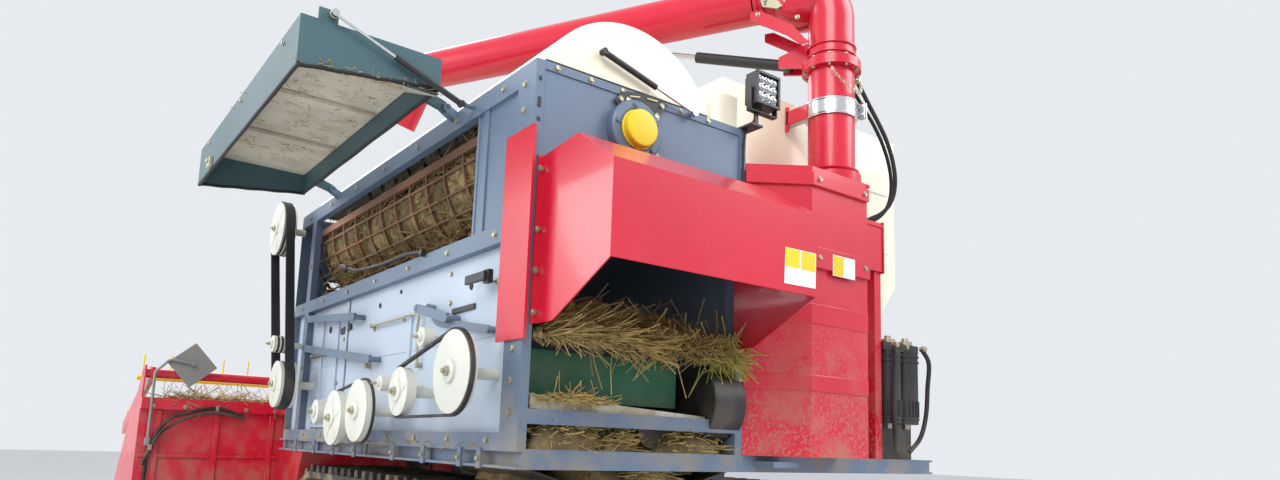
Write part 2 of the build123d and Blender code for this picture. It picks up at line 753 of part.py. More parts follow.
# Long unloading tube with its outlet bend
tube_start = joint_along + 6.0
with BuildPart() as unloading_tube:
    bent_tube(
        (
            (*along_tube(tube_start), tube_axis_z),
            (*along_tube(tube_length), tube_axis_z),
            (*along_tube(tube_length + 130), tube_axis_z - 250),
        ),
        tube_d / 2,
        150.0,
        tube_d / 2 - 5,
    )
    tube_plate(
        ((lift_along - 14, lift_z - 14), (lift_along + 14, lift_z - 18), (joint_along + 160, tube_axis_z + 80),
         (joint_along + 170, tube_axis_z + 95), (lift_along + 10, lift_z + 18), (lift_along - 14, lift_z + 14)),
        (-18.0, 18.0),
    )
    bore_ends = [(*along_tube(lift_along, side * 19.0), lift_z) for side in (-1, 1)]
    rod(bore_ends[0], bore_ends[1], lift_pin + play, Mode.SUBTRACT)
    for side in (-1, 1):
        reach = sorted((side * ear_gap / 2, side * (ear_gap / 2 + ear_thick)))
        tube_plate(
            ((boom_rod_along - 30, tube_axis_z - tube_d / 2 + 12), (boom_rod_along - 22, boom_rod_z - 22),
             (boom_rod_along + 22, boom_rod_z - 22), (boom_rod_along + 30, tube_axis_z - tube_d / 2 + 12)),
            reach,
        )
unloading_tube.part.label = "unloading_tube"
export_step(unloading_tube.part, "parts/unloading_tube.step")


def cylinder_pair(spots, radius, rod_radius, barrel_length, width, across_way, inward):
    """Sizes of a cylinder between two eye spots, whose rod can still go in by inward."""
    first = spot(*spots[0])
    last = spot(*spots[1])
    way = (last - first).normalized()
    side = Vector(*across_way).normalized()
    return first, last, way, side, radius, rod_radius, barrel_length, width, inward


def straight_bar(first, last, radius, mode=Mode.ADD):
    """A round bar between two vectors in the shared frame."""
    way = last - first
    with BuildSketch(Plane(origin=first, z_dir=way)) as ring:
        Circle(radius)
    extrude(ring.sketch, amount=way.length, mode=mode)


def barrel_body(pair):
    """Tube with a closed eye at the first spot."""
    first, last, way, side, radius, rod_radius, barrel_length, width, inward = pair
    straight_bar(first + way * radius * 0.5, first + way * barrel_length, radius)
    straight_bar(first - side * width / 2, first + side * width / 2, radius)
    straight_bar(first + way * (radius * 1.6), first + way * (barrel_length + 1), rod_radius + play, Mode.SUBTRACT)


def rod_body(pair):
    """Rod that starts inside the barrel and ends in an eye at the last spot."""
    first, last, way, side, radius, rod_radius, barrel_length, width, inward = pair
    straight_bar(first + way * (radius * 1.6 + inward + 4), last, rod_radius)
    straight_bar(last - side * width / 2, last + side * width / 2, rod_radius + 7)


header_pair = cylinder_pair(
    ((header_cylinder_x, header_barrel_y, header_barrel_z), (header_cylinder_x, header_rod_y, header_rod_z)),
    25.0, 13.0, 360.0, eye_width, (1, 0, 0), 75.0,
)
boom_pair = cylinder_pair(
    ((*along_tube(boom_barrel_along), boom_barrel_z), (*along_tube(boom_rod_along), boom_rod_z)),
    22.0, 11.0, 400.0, eye_width, (across[0], across[1], 0), 0.0,
)

# Header lift cylinder
with BuildPart() as header_barrel:
    barrel_body(header_pair)
header_barrel.part.label = "header_barrel"
export_step(header_barrel.part, "parts/header_barrel.step")

with BuildPart() as header_rod:
    rod_body(header_pair)
header_rod.part.label = "header_rod"
export_step(header_rod.part, "parts/header_rod.step")

# Unloading tube lift cylinder
with BuildPart() as boom_barrel:
    barrel_body(boom_pair)
boom_barrel.part.label = "boom_barrel"
export_step(boom_barrel.part, "parts/boom_barrel.step")

with BuildPart() as boom_rod:
    rod_body(boom_pair)
boom_rod.part.label = "boom_rod"
export_step(boom_rod.part, "parts/boom_rod.step")

# Reel lift cylinders, one under each reel arm
reel_arm_x = (header_left + 40, header_right - 40)
reel_barrel_y = 3130.0
reel_barrel_z = 730.0
reel_rod_y = 3560.0
reel_rod_z = 850.0
reel_pairs = []
for x in reel_arm_x:
    reel_pairs.append(
        cylinder_pair(
            ((x, reel_barrel_y, reel_barrel_z), (x, reel_rod_y, reel_rod_z)), 15.0, 8.0, 290.0, 32.0, (1, 0, 0), 45.0
        )
    )
with BuildPart() as reel_barrels:
    for pair in reel_pairs:
        barrel_body(pair)
reel_barrels.part.label = "reel_barrels"
export_step(reel_barrels.part, "parts/reel_barrels.step")

with BuildPart() as reel_rods:
    for pair in reel_pairs:
        rod_body(pair)
reel_rods.part.label = "reel_rods"
export_step(reel_rods.part, "parts/reel_rods.step")

# Gas strut of the side cover, behind the cover's end plate
strut_y = 402.0
side_strut_pair = cylinder_pair(
    ((-1020.0, strut_y, 1865.0), (-1441.0, strut_y, 2029.0)), 10.0, 4.5, 245.0, 22.0, (0, 1, 0), 52.0
)
with BuildPart() as side_strut_barrel:
    barrel_body(side_strut_pair)
side_strut_barrel.part.label = "side_strut_barrel"
export_step(side_strut_barrel.part, "parts/side_strut_barrel.step")

with BuildPart() as side_strut_rod:
    rod_body(side_strut_pair)
side_strut_rod.part.label = "side_strut_rod"
export_step(side_strut_rod.part, "parts/side_strut_rod.step")

# Gas strut of the drum cover, on the rear face
drum_strut_y = -20.0
drum_strut_pair = cylinder_pair(
    ((-752.0, drum_strut_y, 1976.0), (-382.0, drum_strut_y, 1880.0)), 10.0, 4.5, 215.0, 22.0, (0, 1, 0), 0.0
)
with BuildPart() as drum_strut_barrel:
    barrel_body(drum_strut_pair)
drum_strut_barrel.part.label = "drum_strut_barrel"
export_step(drum_strut_barrel.part, "parts/drum_strut_barrel.step")

with BuildPart() as drum_strut_rod:
    rod_body(drum_strut_pair)
drum_strut_rod.part.label = "drum_strut_rod"
export_step(drum_strut_rod.part, "parts/drum_strut_rod.step")

# Drum cover: arched sheet with end plates, hinged on its right
cover_hinge_x = -296.0
cover_hinge_z = 1905.0
cover_foot = 1900.0
with BuildPart() as drum_cover:
    cover_plane = Plane(origin=spot(drum_x, 0, drum_z), x_dir=(1, 0, 0), z_dir=(0, -1, 0))
    with BuildSketch(cover_plane):
        Circle(cover_radius)
        with Locations((0, -cover_radius + cover_foot - drum_z)):
            Rectangle(3 * cover_radius, 2 * cover_radius, mode=Mode.SUBTRACT)
    extrude(amount=-(thresher_front - 40))
    with BuildSketch(cover_plane.offset(-sheet)):
        Circle(cover_radius - sheet)
        with Locations((0, -cover_radius + cover_foot - drum_z)):
            Rectangle(3 * cover_radius, 2 * cover_radius, mode=Mode.SUBTRACT)
    extrude(amount=-(thresher_front - 40 - 2 * sheet), mode=Mode.SUBTRACT)
    rod((-752, 3, 1976), (-752, -9 + play, 1976), 7)
    for y in (240.0, 1170.0, 2100.0):
        rod((cover_hinge_x, y - 40, cover_hinge_z), (cover_hinge_x, y + 40, cover_hinge_z), 7)
drum_cover.part.label = "drum_cover"
export_step(drum_cover.part, "parts/drum_cover.step")

# Cream side box beside the drum cover
with BuildPart() as top_box:
    rear_profile(
        ((-282, post_top + play), (-282, 1990), (-210, 2010), (-157, 2010), (-157, post_top + play)),
        (10, thresher_front - 40),
    )
top_box.part.label = "top_box"
export_step(top_box.part, "parts/top_box.step")

# Open side cover: a tray with deep rims, an inner lining and two hinge arms
tray_outer = -1532.0
tray_inner = -1089.0
tray_y = (420.0, 1960.0)
with BuildPart() as side_cover:
    rear_profile(
        ((tray_outer, 2007), (tray_outer, 1852), (tray_outer + 6, 1852), (tray_outer + 6, 2001),
         (tray_inner - 6, 1997), (tray_inner - 6, 1906), (tray_inner, 1906), (tray_inner, 2003)),
        tray_y,
    )
    end_plate = ((tray_outer, 2007), (tray_outer, 1852), (tray_inner, 1906), (tray_inner, 2003))
    rear_profile(end_plate, (tray_y[0], tray_y[0] + 6))
    rear_profile(end_plate, (tray_y[1] - 6, tray_y[1]))
    rear_profile(
        ((tray_outer + 3, 1852), (tray_outer + 10, 1852), (tray_outer + 70, 2003), (tray_outer + 62, 2003)),
        (tray_y[0] + 3, tray_y[1] - 3),
    )
    side_profile(
        ((tray_y[0] + 3, 1885), (tray_y[0] + 3, 1880), (tray_y[0] + 300, 1997), (tray_y[0] + 288, 1997)),
        (tray_outer + 50, tray_inner - 3),
    )
    for y in side_hinge_rows:
        rod((side_hinge_x, y - 24, side_hinge_z), (side_hinge_x, y + 24, side_hinge_z), 8)
        rear_profile(
            ((tray_inner - 3, 1990), (tray_inner - 3, 1910), (side_hinge_x - 8, 1890), (side_hinge_x + 8, 1905),
             (side_hinge_x - 2, 1922), (side_hinge_x - 40, 1935)),
            (y - 10, y + 10),
        )
    slab((-1482, -1424), (tray_y[0], tray_y[0] + 8), (1985, 2046))
    rod((-1441, tray_y[0] + 1, 2029), (-1441, strut_y + 11 + play, 2029), 7)
side_cover.part.label = "side_cover"
export_step(side_cover.part, "parts/side_cover.step")

# Square work lamp on its bracket
with BuildPart() as work_lamp:
    slab((-150, -97), (-60, 24), (post_top + play, post_top + 8))
    slab((-128, -112), (-52, -44), (post_top, 1960))
    slab((-153, -41), (-78, -30), (1968, 2084))
    slab((-124, -100), (-56, -30), (1950, 1975))
work_lamp.part.label = "work_lamp"
export_step(work_lamp.part, "parts/work_lamp.step")

# Two upright filters on a head block that is bolted to the column's strip
strip_x = (600.0, 640.0)
filter_radius = 50.0
filter_y = 14.0
filter_z = (900.0, 1190.0)
with BuildPart() as rear_filters:
    for x in (700.0, 815.0):
        rod((x, filter_y, filter_z[0]), (x, filter_y, filter_z[1] + 1), filter_radius)
    slab((strip_x[1] + play, 872), (filter_y - 24, filter_y + 24), (filter_z[1], filter_z[1] + 32))
rear_filters.part.label = "rear_filters"
export_step(rear_filters.part, "parts/rear_filters.step")

# Engine: one plain block with its sump and pulley
with BuildPart() as engine_block:
    slab((160, 700), (1420, 1960), (deck_top + 40, 1330))
    slab((240, 620), (1460, 1920), (deck_top + play, deck_top + 60))
engine_block.part.label = "engine_block"
export_step(engine_block.part, "parts/engine_block.step")

# Engine cover: open box with a slatted screen on the right
engine_left = 60.0
engine_right = 940.0
cover_top = 1420.0
with BuildPart() as engine_cover:
    slab((engine_left, engine_right), (1340, 2060), (deck_top + play, cover_top))
    slab((engine_left + 8, engine_right - 8), (1348, 2052), (deck_top - 1, cover_top - 8), Mode.SUBTRACT)
    for at in range(12):
        z = 820 + at * 44
        slab((engine_right - 20, engine_right + 1), (1430, 1970), (z, z + 26), Mode.SUBTRACT)
engine_cover.part.label = "engine_cover"
export_step(engine_cover.part, "parts/engine_cover.step")

# Operator's floor with step and handrail
with BuildPart() as operator_floor:
    slab((60, 960), (2066, 2840), (deck_top + play, deck_top + 24))
    slab((60, 110), (2530, 2840), (deck_top - 60, deck_top + 24))
    slab((910, 960), (2530, 2840), (deck_top - 60, deck_top + 24))
    slab((60, 960), (2820, 2840), (deck_top, 1100))
    slab((700, 960), (2560, 2820), (470, 480))
    for x in (705.0, 955.0):
        rod((x, 2570, 475), (x, 2570, deck_top - 30), 9)
        rod((x, 2810, 475), (x, 2810, deck_top - 30), 9)
operator_floor.part.label = "operator_floor"
export_step(operator_floor.part, "parts/operator_floor.step")

# Seat on the engine cover
with BuildPart() as operator_seat:
    slab((300, 740), (1620, 2060), (cover_top + play, cover_top + 110))
    side_profile(((1600, cover_top + 60), (1700, cover_top + 60), (1640, 1990), (1560, 1990)), (310, 730))
operator_seat.part.label = "operator_seat"
export_step(operator_seat.part, "parts/operator_seat.step")

# Consoles in front and to the left of the seat
with BuildPart() as control_console:
    side_profile(((2660, deck_top + 24 + play), (2818, deck_top + 24 + play), (2818, 1560), (2640, 1500)), (220, 800))
    slab((90, 240), (2070, 2818), (deck_top + 24 + play, 1480))
    for x, y, height in ((165.0, 2250.0, 1680.0), (165.0, 2420.0, 1650.0), (640.0, 2730.0, 1700.0)):
        rod((x, y, 1470), (x, y, height), 9)
        rod((x, y, height), (x, y, height + 50), 18)
control_console.part.label = "control_console"
export_step(control_console.part, "parts/control_console.step")

# Canopy on two posts over the operator
canopy_z = 2560.0
with BuildPart() as canopy:
    slab((60, 960), (1500, 2860), (canopy_z, canopy_z + 50))
    for x in (90.0, 930.0):
        rod((x, 1560, cover_top + play), (x, 1560, canopy_z), 20)
canopy.part.label = "canopy"
export_step(canopy.part, "parts/canopy.step")

# Fuel tank and air cleaner at the right rear
with BuildPart() as fuel_tank:
    slab((660, 930), (70, 134), (deck_top + play, 1180))
fuel_tank.part.label = "fuel_tank"
export_step(fuel_tank.part, "parts/fuel_tank.step")

# Feeder house: box from the thresher's inlet down to the header
feeder_left = -820.0
feeder_right = -272.0
feeder_outline = (
    (2392, 1540), (2480, 1560), (header_rear - 5 - play, 820), (header_rear - 5 - play, 300), (2720, 300), (2392, 1170)
)
with BuildPart() as feeder_house:
    side_profile(feeder_outline, (feeder_left, feeder_right))
    side_profile(
        ((2380, 1530), (2476, 1550), (header_rear + 10, 800), (header_rear + 10, 320), (2730, 320), (2380, 1200)),
        (feeder_left + 8, feeder_right - 8),
        Mode.SUBTRACT,
    )
feeder_house.part.label = "feeder_house"
export_step(feeder_house.part, "parts/feeder_house.step")

# Header: rear wall with the feeder opening, floor, side plates and pointed dividers
side_sheet = 8.0
side_outline = (
    (header_rear - 5, header_floor), (header_rear - 5, header_top), (3300, header_top), (header_front, 420),
    (header_front, header_floor)
)
divider_tip = 4600.0
with BuildPart() as header_frame:
    slab((header_left, header_right), (header_rear - 5, header_rear + 3), (header_floor, header_top))
    slab((feeder_left + 8, feeder_right - 8), (header_rear - 6, header_rear + 4), (320, 760), Mode.SUBTRACT)
    slab((header_left, header_right), (header_rear - 5, header_front), (header_floor - 8, header_floor))
    slab((header_left, header_right), (header_rear - 45, header_rear - 5), (header_top - 60, header_top))
    for x in (header_left, header_right - side_sheet):
        side_profile(side_outline, (x, x + side_sheet))
    for x in (header_left, header_right):
        side = -1 if x < 0 else 1
        inner = x - side * side_sheet
        outer = x + side * 2
        plan_profile(
            ((inner - side * 50, header_front - 140), (outer, header_front - 140), (outer, header_front + 60),
             (x - side * 20, divider_tip), (inner - side * 50, header_front + 60)),
            (header_floor + 40, header_floor + 150),
        )
    for x in (header_left, header_right - side_sheet):
        side_profile(
            ((header_rear - 5, header_top - 1), (arm_pivot_y - 45, arm_pivot_z + 40), (arm_pivot_y + 45, arm_pivot_z + 40),
             (3200, header_top - 1)),
            (x, x + side_sheet),
        )
        rod((x - 1, arm_pivot_y, arm_pivot_z), (x + side_sheet + 1, arm_pivot_y, arm_pivot_z), 25.5, Mode.SUBTRACT)
    for side in (-1, 1):
        ear = header_cylinder_x + side * (ear_gap / 2 + ear_thick / 2)
        slab((ear - ear_thick / 2, ear + ear_thick / 2), (header_rod_y - 25, header_rear), (header_rod_z - 30, header_rod_z + 30))
    for x, way in ((reel_arm_x[0], -1), (reel_arm_x[1], 1)):
        rod((x + way * (16 + play), reel_barrel_y, reel_barrel_z), (x + way * 36, reel_barrel_y, reel_barrel_z), 9)
header_frame.part.label = "header_frame"
export_step(header_frame.part, "parts/header_frame.step")

# Cutter bar: finger beam with pointed guards
guard_pitch = 76.0
guard_length = 110.0
bar_left = header_left + 70
bar_right = header_right - 70
guard_count = int((bar_right - bar_left) / guard_pitch)
with BuildPart() as cutter_bar:
    slab((bar_left, bar_right), (header_front + play, header_front + 60), (header_floor - 8, header_floor + 8))
    for at in range(guard_count):
        x = bar_left + guard_pitch * (at + 0.5)
        plan_profile(
            ((x - 14, header_front + 50), (x + 14, header_front + 50), (x, header_front + 50 + guard_length)),
            (header_floor - 6, header_floor + 6),
        )
cutter_bar.part.label = "cutter_bar"
export_step(cutter_bar.part, "parts/cutter_bar.step")

# Header auger: tube with flights from both ends and retracting fingers in the middle
flight_pitch = 260.0
auger_tube = 105.0
auger_left = header_left + side_sheet + 12
auger_right = header_right - side_sheet - 12
with BuildPart() as header_auger:
    rod((header_left + side_sheet + play, auger_y, auger_z), (header_right - side_sheet - play, auger_y, auger_z), 22)
    rod((auger_left, auger_y, auger_z), (auger_right, auger_y, auger_z), auger_tube)
    rod((auger_left + 6, auger_y, auger_z), (auger_right - 6, auger_y, auger_z), auger_tube - 4, Mode.SUBTRACT)
    rod((auger_left, auger_y, auger_z), (auger_right, auger_y, auger_z), 22)
    for start, end in ((auger_left, feeder_left), (auger_right, feeder_right)):
        turns = int(abs(end - start) / flight_pitch) + 1
        for number in range(turns * 2):
            x = start + (end - start) * (number + 0.5) / (turns * 2)
            rod((x - 4, auger_y, auger_z), (x + 4, auger_y, auger_z), auger_radius)
    for finger in range(8):
        turn = math.pi * finger / 4
        x = feeder_left + 60 + finger * 60
        reach = auger_radius - 10
        rod(
            (x, auger_y, auger_z),
            (x, auger_y + reach * math.cos(turn), auger_z + reach * math.sin(turn)),
            7,
        )
header_auger.part.label = "header_auger"
export_step(header_auger.part, "parts/header_auger.step")

# Reel arms: two arms from the cross tube, which turns on the header's rear wall
reel_left = header_left + 60
reel_right = header_right - 60
with BuildPart() as reel_arms:
    rod((header_left + 1, arm_pivot_y, arm_pivot_z), (header_right - 1, arm_pivot_y, arm_pivot_z), 25)
    for x in (header_left + 30, header_right - 50):
        side_profile(
            ((arm_pivot_y - 40, arm_pivot_z + 30), (arm_pivot_y - 40, arm_pivot_z - 30), (arm_pivot_y + 30, arm_pivot_z - 50),
             (reel_y + 40, reel_z - 40), (reel_y + 40, reel_z + 30), (arm_pivot_y + 60, arm_pivot_z + 40)),
            (x, x + 20),
        )
        side_profile(
            ((reel_rod_y - 25, reel_rod_z + 70), (reel_rod_y - 16, reel_rod_z + 22), (reel_rod_y + 16, reel_rod_z + 22),
             (reel_rod_y + 25, reel_rod_z + 70)),
            (x, x + 20),
        )
    for x in (header_left + 30, header_right - 50):
        rod((x - 1, reel_y, reel_z), (x + 21, reel_y, reel_z), 21, Mode.SUBTRACT)
reel_arms.part.label = "reel_arms"
export_step(reel_arms.part, "parts/reel_arms.step")

# Reel: shaft, end stars, five tubes and their tines
bat_count = 5
tine_pitch = 150.0
bats_left = reel_left + 10
bats_right = reel_right - 10
tine_count = int((bats_right - bats_left - 60) / tine_pitch) + 1
with BuildPart() as crop_reel:
    rod((header_left + 32, reel_y, reel_z), (header_right - 32, reel_y, reel_z), 20)
    for bat in range(bat_count):
        turn = 2 * math.pi * bat / bat_count + math.pi / 2
        out = (math.cos(turn), math.sin(turn))
        y = reel_y + bat_radius * out[0]
        z = reel_z + bat_radius * out[1]
        rod((bats_left, y, z), (bats_right, y, z), 15)
        for x in (bats_left + 30, (bats_left + bats_right) / 2, bats_right - 30):
            rod((x, reel_y, reel_z), (x, y, z), 10)
        for tine in range(tine_count):
            x = bats_left + 30 + tine * tine_pitch
            reach = bat_radius + tine_length
            rod((x, y, z), (x, reel_y + reach * out[0], reel_z + reach * out[1]), 5)
crop_reel.part.label = "crop_reel"
export_step(crop_reel.part, "parts/crop_reel.step")

# Marker plate, square and set on a corner, on a bent rod
plate_mid = (-1320.0, 2950.0, 1128.0)
rod_y = 2946.0
with BuildPart() as marker_plate:
    bent_tube(
        ((-1490, rod_y, 700), (-1490, rod_y, 1080), (-1430, rod_y - 16, 1150), (-1320, rod_y - 16, 1135)),
        7.0,
        30.0,
    )
    plate_plane = Plane(origin=spot(*plate_mid), x_dir=(1, 0, 0), z_dir=(0, -1, 0))
    with BuildSketch(plate_plane):
        Rectangle(170, 170, rotation=42)
    extrude(amount=5)
    rod((-1320, rod_y - 26, 1135), (-1320, rod_y + 2, 1135), 12)
    slab((-1500, -1480), (2940, header_rear - 5 - play), (700, 740))
marker_plate.part.label = "marker_plate"
export_step(marker_plate.part, "parts/marker_plate.step")
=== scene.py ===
import math

import bpy
import numpy as np
from mathutils import Matrix, Vector


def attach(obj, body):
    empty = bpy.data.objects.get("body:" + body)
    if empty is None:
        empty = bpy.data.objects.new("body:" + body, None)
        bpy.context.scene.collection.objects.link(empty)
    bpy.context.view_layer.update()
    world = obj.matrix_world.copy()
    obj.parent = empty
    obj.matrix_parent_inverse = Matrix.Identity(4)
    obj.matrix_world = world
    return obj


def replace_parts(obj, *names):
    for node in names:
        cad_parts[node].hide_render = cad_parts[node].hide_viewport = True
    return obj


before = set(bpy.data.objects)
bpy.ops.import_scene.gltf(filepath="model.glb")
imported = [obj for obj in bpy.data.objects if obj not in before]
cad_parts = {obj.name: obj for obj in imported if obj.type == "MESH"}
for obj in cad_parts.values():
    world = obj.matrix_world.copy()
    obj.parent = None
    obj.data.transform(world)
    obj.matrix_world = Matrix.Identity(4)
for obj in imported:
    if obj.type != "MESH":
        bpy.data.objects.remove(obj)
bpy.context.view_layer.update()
print("frame loaded:", len(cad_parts), "nodes")

# Places below are in millimetres: x right of the body's middle, y ahead of the thresher's rear
# plane, z above the ground. This datum turns them into the frame's metres.
bodyDatum = {"x": 285.0, "y": -2135.0}


def toFrame(points):
    points = np.asarray(points, float)
    return (points + (bodyDatum["x"], bodyDatum["y"], 0.0)) / 1000.0


# Camera, as the photograph was taken: from behind on the left, close and looking slightly up
cameraView = {
    "place": (-2090.0, -2018.0, 778.0),
    "yaw": 37.125,       # degrees to the right of straight ahead
    "pitch": 8.35,       # degrees above level
    "roll": 1.904,
    "lens": 23.29,       # mm, on a sensor 36 mm wide
    "shiftY": 0.0662,    # share of the picture's width
}


def makeCamera(look):
    yaw, pitch, roll = (math.radians(look[key]) for key in ("yaw", "pitch", "roll"))
    ahead = Vector((math.sin(yaw) * math.cos(pitch), math.cos(yaw) * math.cos(pitch), math.sin(pitch)))
    level = Vector((math.cos(yaw), -math.sin(yaw), 0.0))
    upright = level.cross(ahead)
    right = math.cos(roll) * level + math.sin(roll) * upright
    up = math.cos(roll) * upright - math.sin(roll) * level
    data = bpy.data.cameras.new("camera")
    data.lens = look["lens"]
    data.sensor_width = 36.0
    data.shift_y = look["shiftY"]
    data.clip_end = 100.0
    camera = bpy.data.objects.new("camera", data)
    turn = Matrix((right, up, -ahead)).transposed().to_4x4()
    camera.matrix_world = Matrix.Translation(Vector(toFrame(look["place"]))) @ turn
    bpy.context.scene.collection.objects.link(camera)
    bpy.context.scene.camera = camera


makeCamera(cameraView)
print("camera set")

# Studio: a pale world and large soft lamps
studio = {
    "world": (0.93, 0.96, 1.0),
    "worldPower": 0.86,
    "lamps": (
        # place in metres, aimed at, size, watts, tint
        ((-5.0, -6.0, 6.5), (0.0, -1.0, 1.2), 5.0, 430.0, (1.0, 0.98, 0.95)),
        ((4.5, -5.5, 6.0), (0.3, -0.5, 1.5), 5.0, 300.0, (0.95, 0.98, 1.0)),
        ((-5.5, 2.5, 3.5), (-0.6, 0.0, 1.0), 4.0, 210.0, (1.0, 1.0, 1.0)),
        ((0.0, 5.5, 6.0), (0.0, 0.5, 1.2), 5.0, 240.0, (1.0, 1.0, 1.0)),
    ),
}


def makeStudio(look):
    world = bpy.data.worlds.new("studio")
    world.use_nodes = True
    backdrop = world.node_tree.nodes["Background"]
    backdrop.inputs["Color"].default_value = (*look["world"], 1.0)
    backdrop.inputs["Strength"].default_value = look["worldPower"]
    bpy.context.scene.world = world
    for number, (place, target, size, watts, tint) in enumerate(look["lamps"]):
        data = bpy.data.lights.new("lamp%d" % number, "AREA")
        data.shape = "DISK"
        data.size = size
        data.energy = watts
        data.color = tint
        lamp = bpy.data.objects.new(data.name, data)
        lamp.location = place
        lamp.rotation_euler = (Vector(target) - Vector(place)).to_track_quat("-Z", "Y").to_euler()
        bpy.context.scene.collection.objects.link(lamp)
    bpy.context.scene.view_settings.view_transform = "Standard"


makeStudio(studio)
print("studio lit")

# Materials: short helpers round the node tree

def startMaterial(name):
    material = bpy.data.materials.new(name)
    material.use_nodes = True
    tree = material.node_tree
    return material, tree, tree.nodes["Principled BSDF"]


def fillInputs(tree, node, inputs):
    # each input takes a link from a socket, or a plain value
    for key, value in inputs.items():
        if isinstance(value, bpy.types.NodeSocket):
            tree.links.new(value, node.inputs[key])
        else:
            node.inputs[key].default_value = value


def addNode(tree, kind, inputs=None, **settings):
    node = tree.nodes.new(kind)
    for key, value in settings.items():
        setattr(node, key, value)
    fillInputs(tree, node, inputs or {})
    return node


def tone(red, green, blue):
    # a colour as a picker shows it, 0 to 255, turned to linear light
    return tuple(((value / 255 + 0.055) / 1.055) ** 2.4 for value in (red, green, blue)) + (1.0,)


def scaled(colour, factor):
    return tuple(min(1.0, value * factor) for value in colour[:3]) + (1.0,)


def whereOn(tree):
    return addNode(tree, "ShaderNodeTexCoord").outputs["Object"]


def cloud(tree, size, detail):
    # noise whose features are about size metres across
    inputs = {"Vector": whereOn(tree), "Scale": 1 / size, "Detail": detail}
    return addNode(tree, "ShaderNodeTexNoise", inputs).outputs["Fac"]


def heightOf(tree):
    return addNode(tree, "ShaderNodeSeparateXYZ", {"Vector": whereOn(tree)}).outputs["Z"]


def between(tree, value, low, high, first=0.0, second=1.0):
    # first below low, second above high, a soft step between them
    inputs = {"Value": value, "From Min": low, "From Max": high, "To Min": first, "To Max": second}
    return addNode(tree, "ShaderNodeMapRange", inputs, interpolation_type="SMOOTHSTEP").outputs["Result"]


def sums(tree, operation, first, second):
    inputs = {0: first, 1: second}
    return addNode(tree, "ShaderNodeMath", inputs, operation=operation, use_clamp=True).outputs[0]


def mixTones(tree, share, first, second):
    return addNode(tree, "ShaderNodeMix", {0: share, 6: first, 7: second}, data_type="RGBA").outputs[2]


def finishWith(tree, shader, bump, strength, depth, values):
    # a bump of that strength and depth in metres, and values or links for the shader's other inputs
    inputs = {"Height": bump, "Strength": strength, "Distance": depth}
    fillInputs(tree, shader, {"Normal": addNode(tree, "ShaderNodeBump", inputs).outputs["Normal"], **values})


wear = {
    "slow": 0.6, "fine": 0.018, "patch": 0.12, "speck": 0.011,      # sizes of the clouds in metres
    "dustTone": tone(150, 134, 108), "dustFrom": 0.25, "dustRough": 0.92, "coatRough": 0.08, "bump": 0.35,
}


def wornFinish(name, base, rough, shade, dustTop, dust, metal=0, coat=0, spatter=0.66, grain=0.004):
    # a base colour with slow changes of shade, dust that thickens from the height dustTop down in a cloudy
    # edge, specks of mud where the noise is over spatter, and a roughness that follows the dust
    material, tree, shader = startMaterial(name)
    fine = cloud(tree, wear["fine"], 6)
    slow = between(tree, cloud(tree, wear["slow"], 2), 0.3, 0.7)
    colour = mixTones(tree, slow, scaled(tone(*base), 1 - 1.6 * shade), scaled(tone(*base), 1 + shade))
    low = between(tree, heightOf(tree), wear["dustFrom"], dustTop, 1, 0)
    patchy = between(tree, cloud(tree, wear["patch"], 6), 0.42, 0.68)
    dusty = sums(tree, "MULTIPLY", sums(tree, "MULTIPLY", low, patchy), dust)
    specks = between(tree, cloud(tree, wear["speck"], 3), spatter, spatter + 0.06)
    specks = sums(tree, "MULTIPLY", specks, sums(tree, "MULTIPLY", low, 0.8))
    dusty = sums(tree, "MAXIMUM", dusty, specks)
    rougher = sums(tree, "ADD", dusty, sums(tree, "MULTIPLY", fine, 0.25))
    finishWith(tree, shader, sums(tree, "MULTIPLY", fine, 0.3), wear["bump"], grain, {
        "Base Color": mixTones(tree, dusty, colour, wear["dustTone"]), "Metallic": metal,
        "Roughness": between(tree, rougher, 0, 1, rough, wear["dustRough"]),
        "Coat Weight": coat, "Coat Roughness": wear["coatRough"],
    })
    return material


def strawFinish(name, first, second, size):
    # short lengths of pale and darker straw, and a fine lengthwise grain
    material, tree, shader = startMaterial(name)
    colour = mixTones(tree, between(tree, cloud(tree, size, 5), 0.35, 0.65), tone(*first), tone(*second))
    dark = between(tree, cloud(tree, size * 6, 2), 0.3, 0.75)
    colour = mixTones(tree, dark, scaled(tone(*first), 0.55), colour)
    finishWith(tree, shader, cloud(tree, 0.004, 4), 0.5, 0.001, {"Base Color": colour, "Roughness": 0.7})
    return material


def glassFinish(name, base):
    # clear cover over ribbed reflectors
    material, tree, shader = startMaterial(name)
    inputs = {"Vector": whereOn(tree), "Scale": 90, "Distortion": 0.5}
    ribs = addNode(tree, "ShaderNodeTexWave", inputs).outputs["Fac"]
    finishWith(tree, shader, ribs, 0.3, 0.001,
               {"Base Color": tone(*base), "Roughness": 0.12, "Metallic": 0.6, "Coat Weight": 1})
    return material


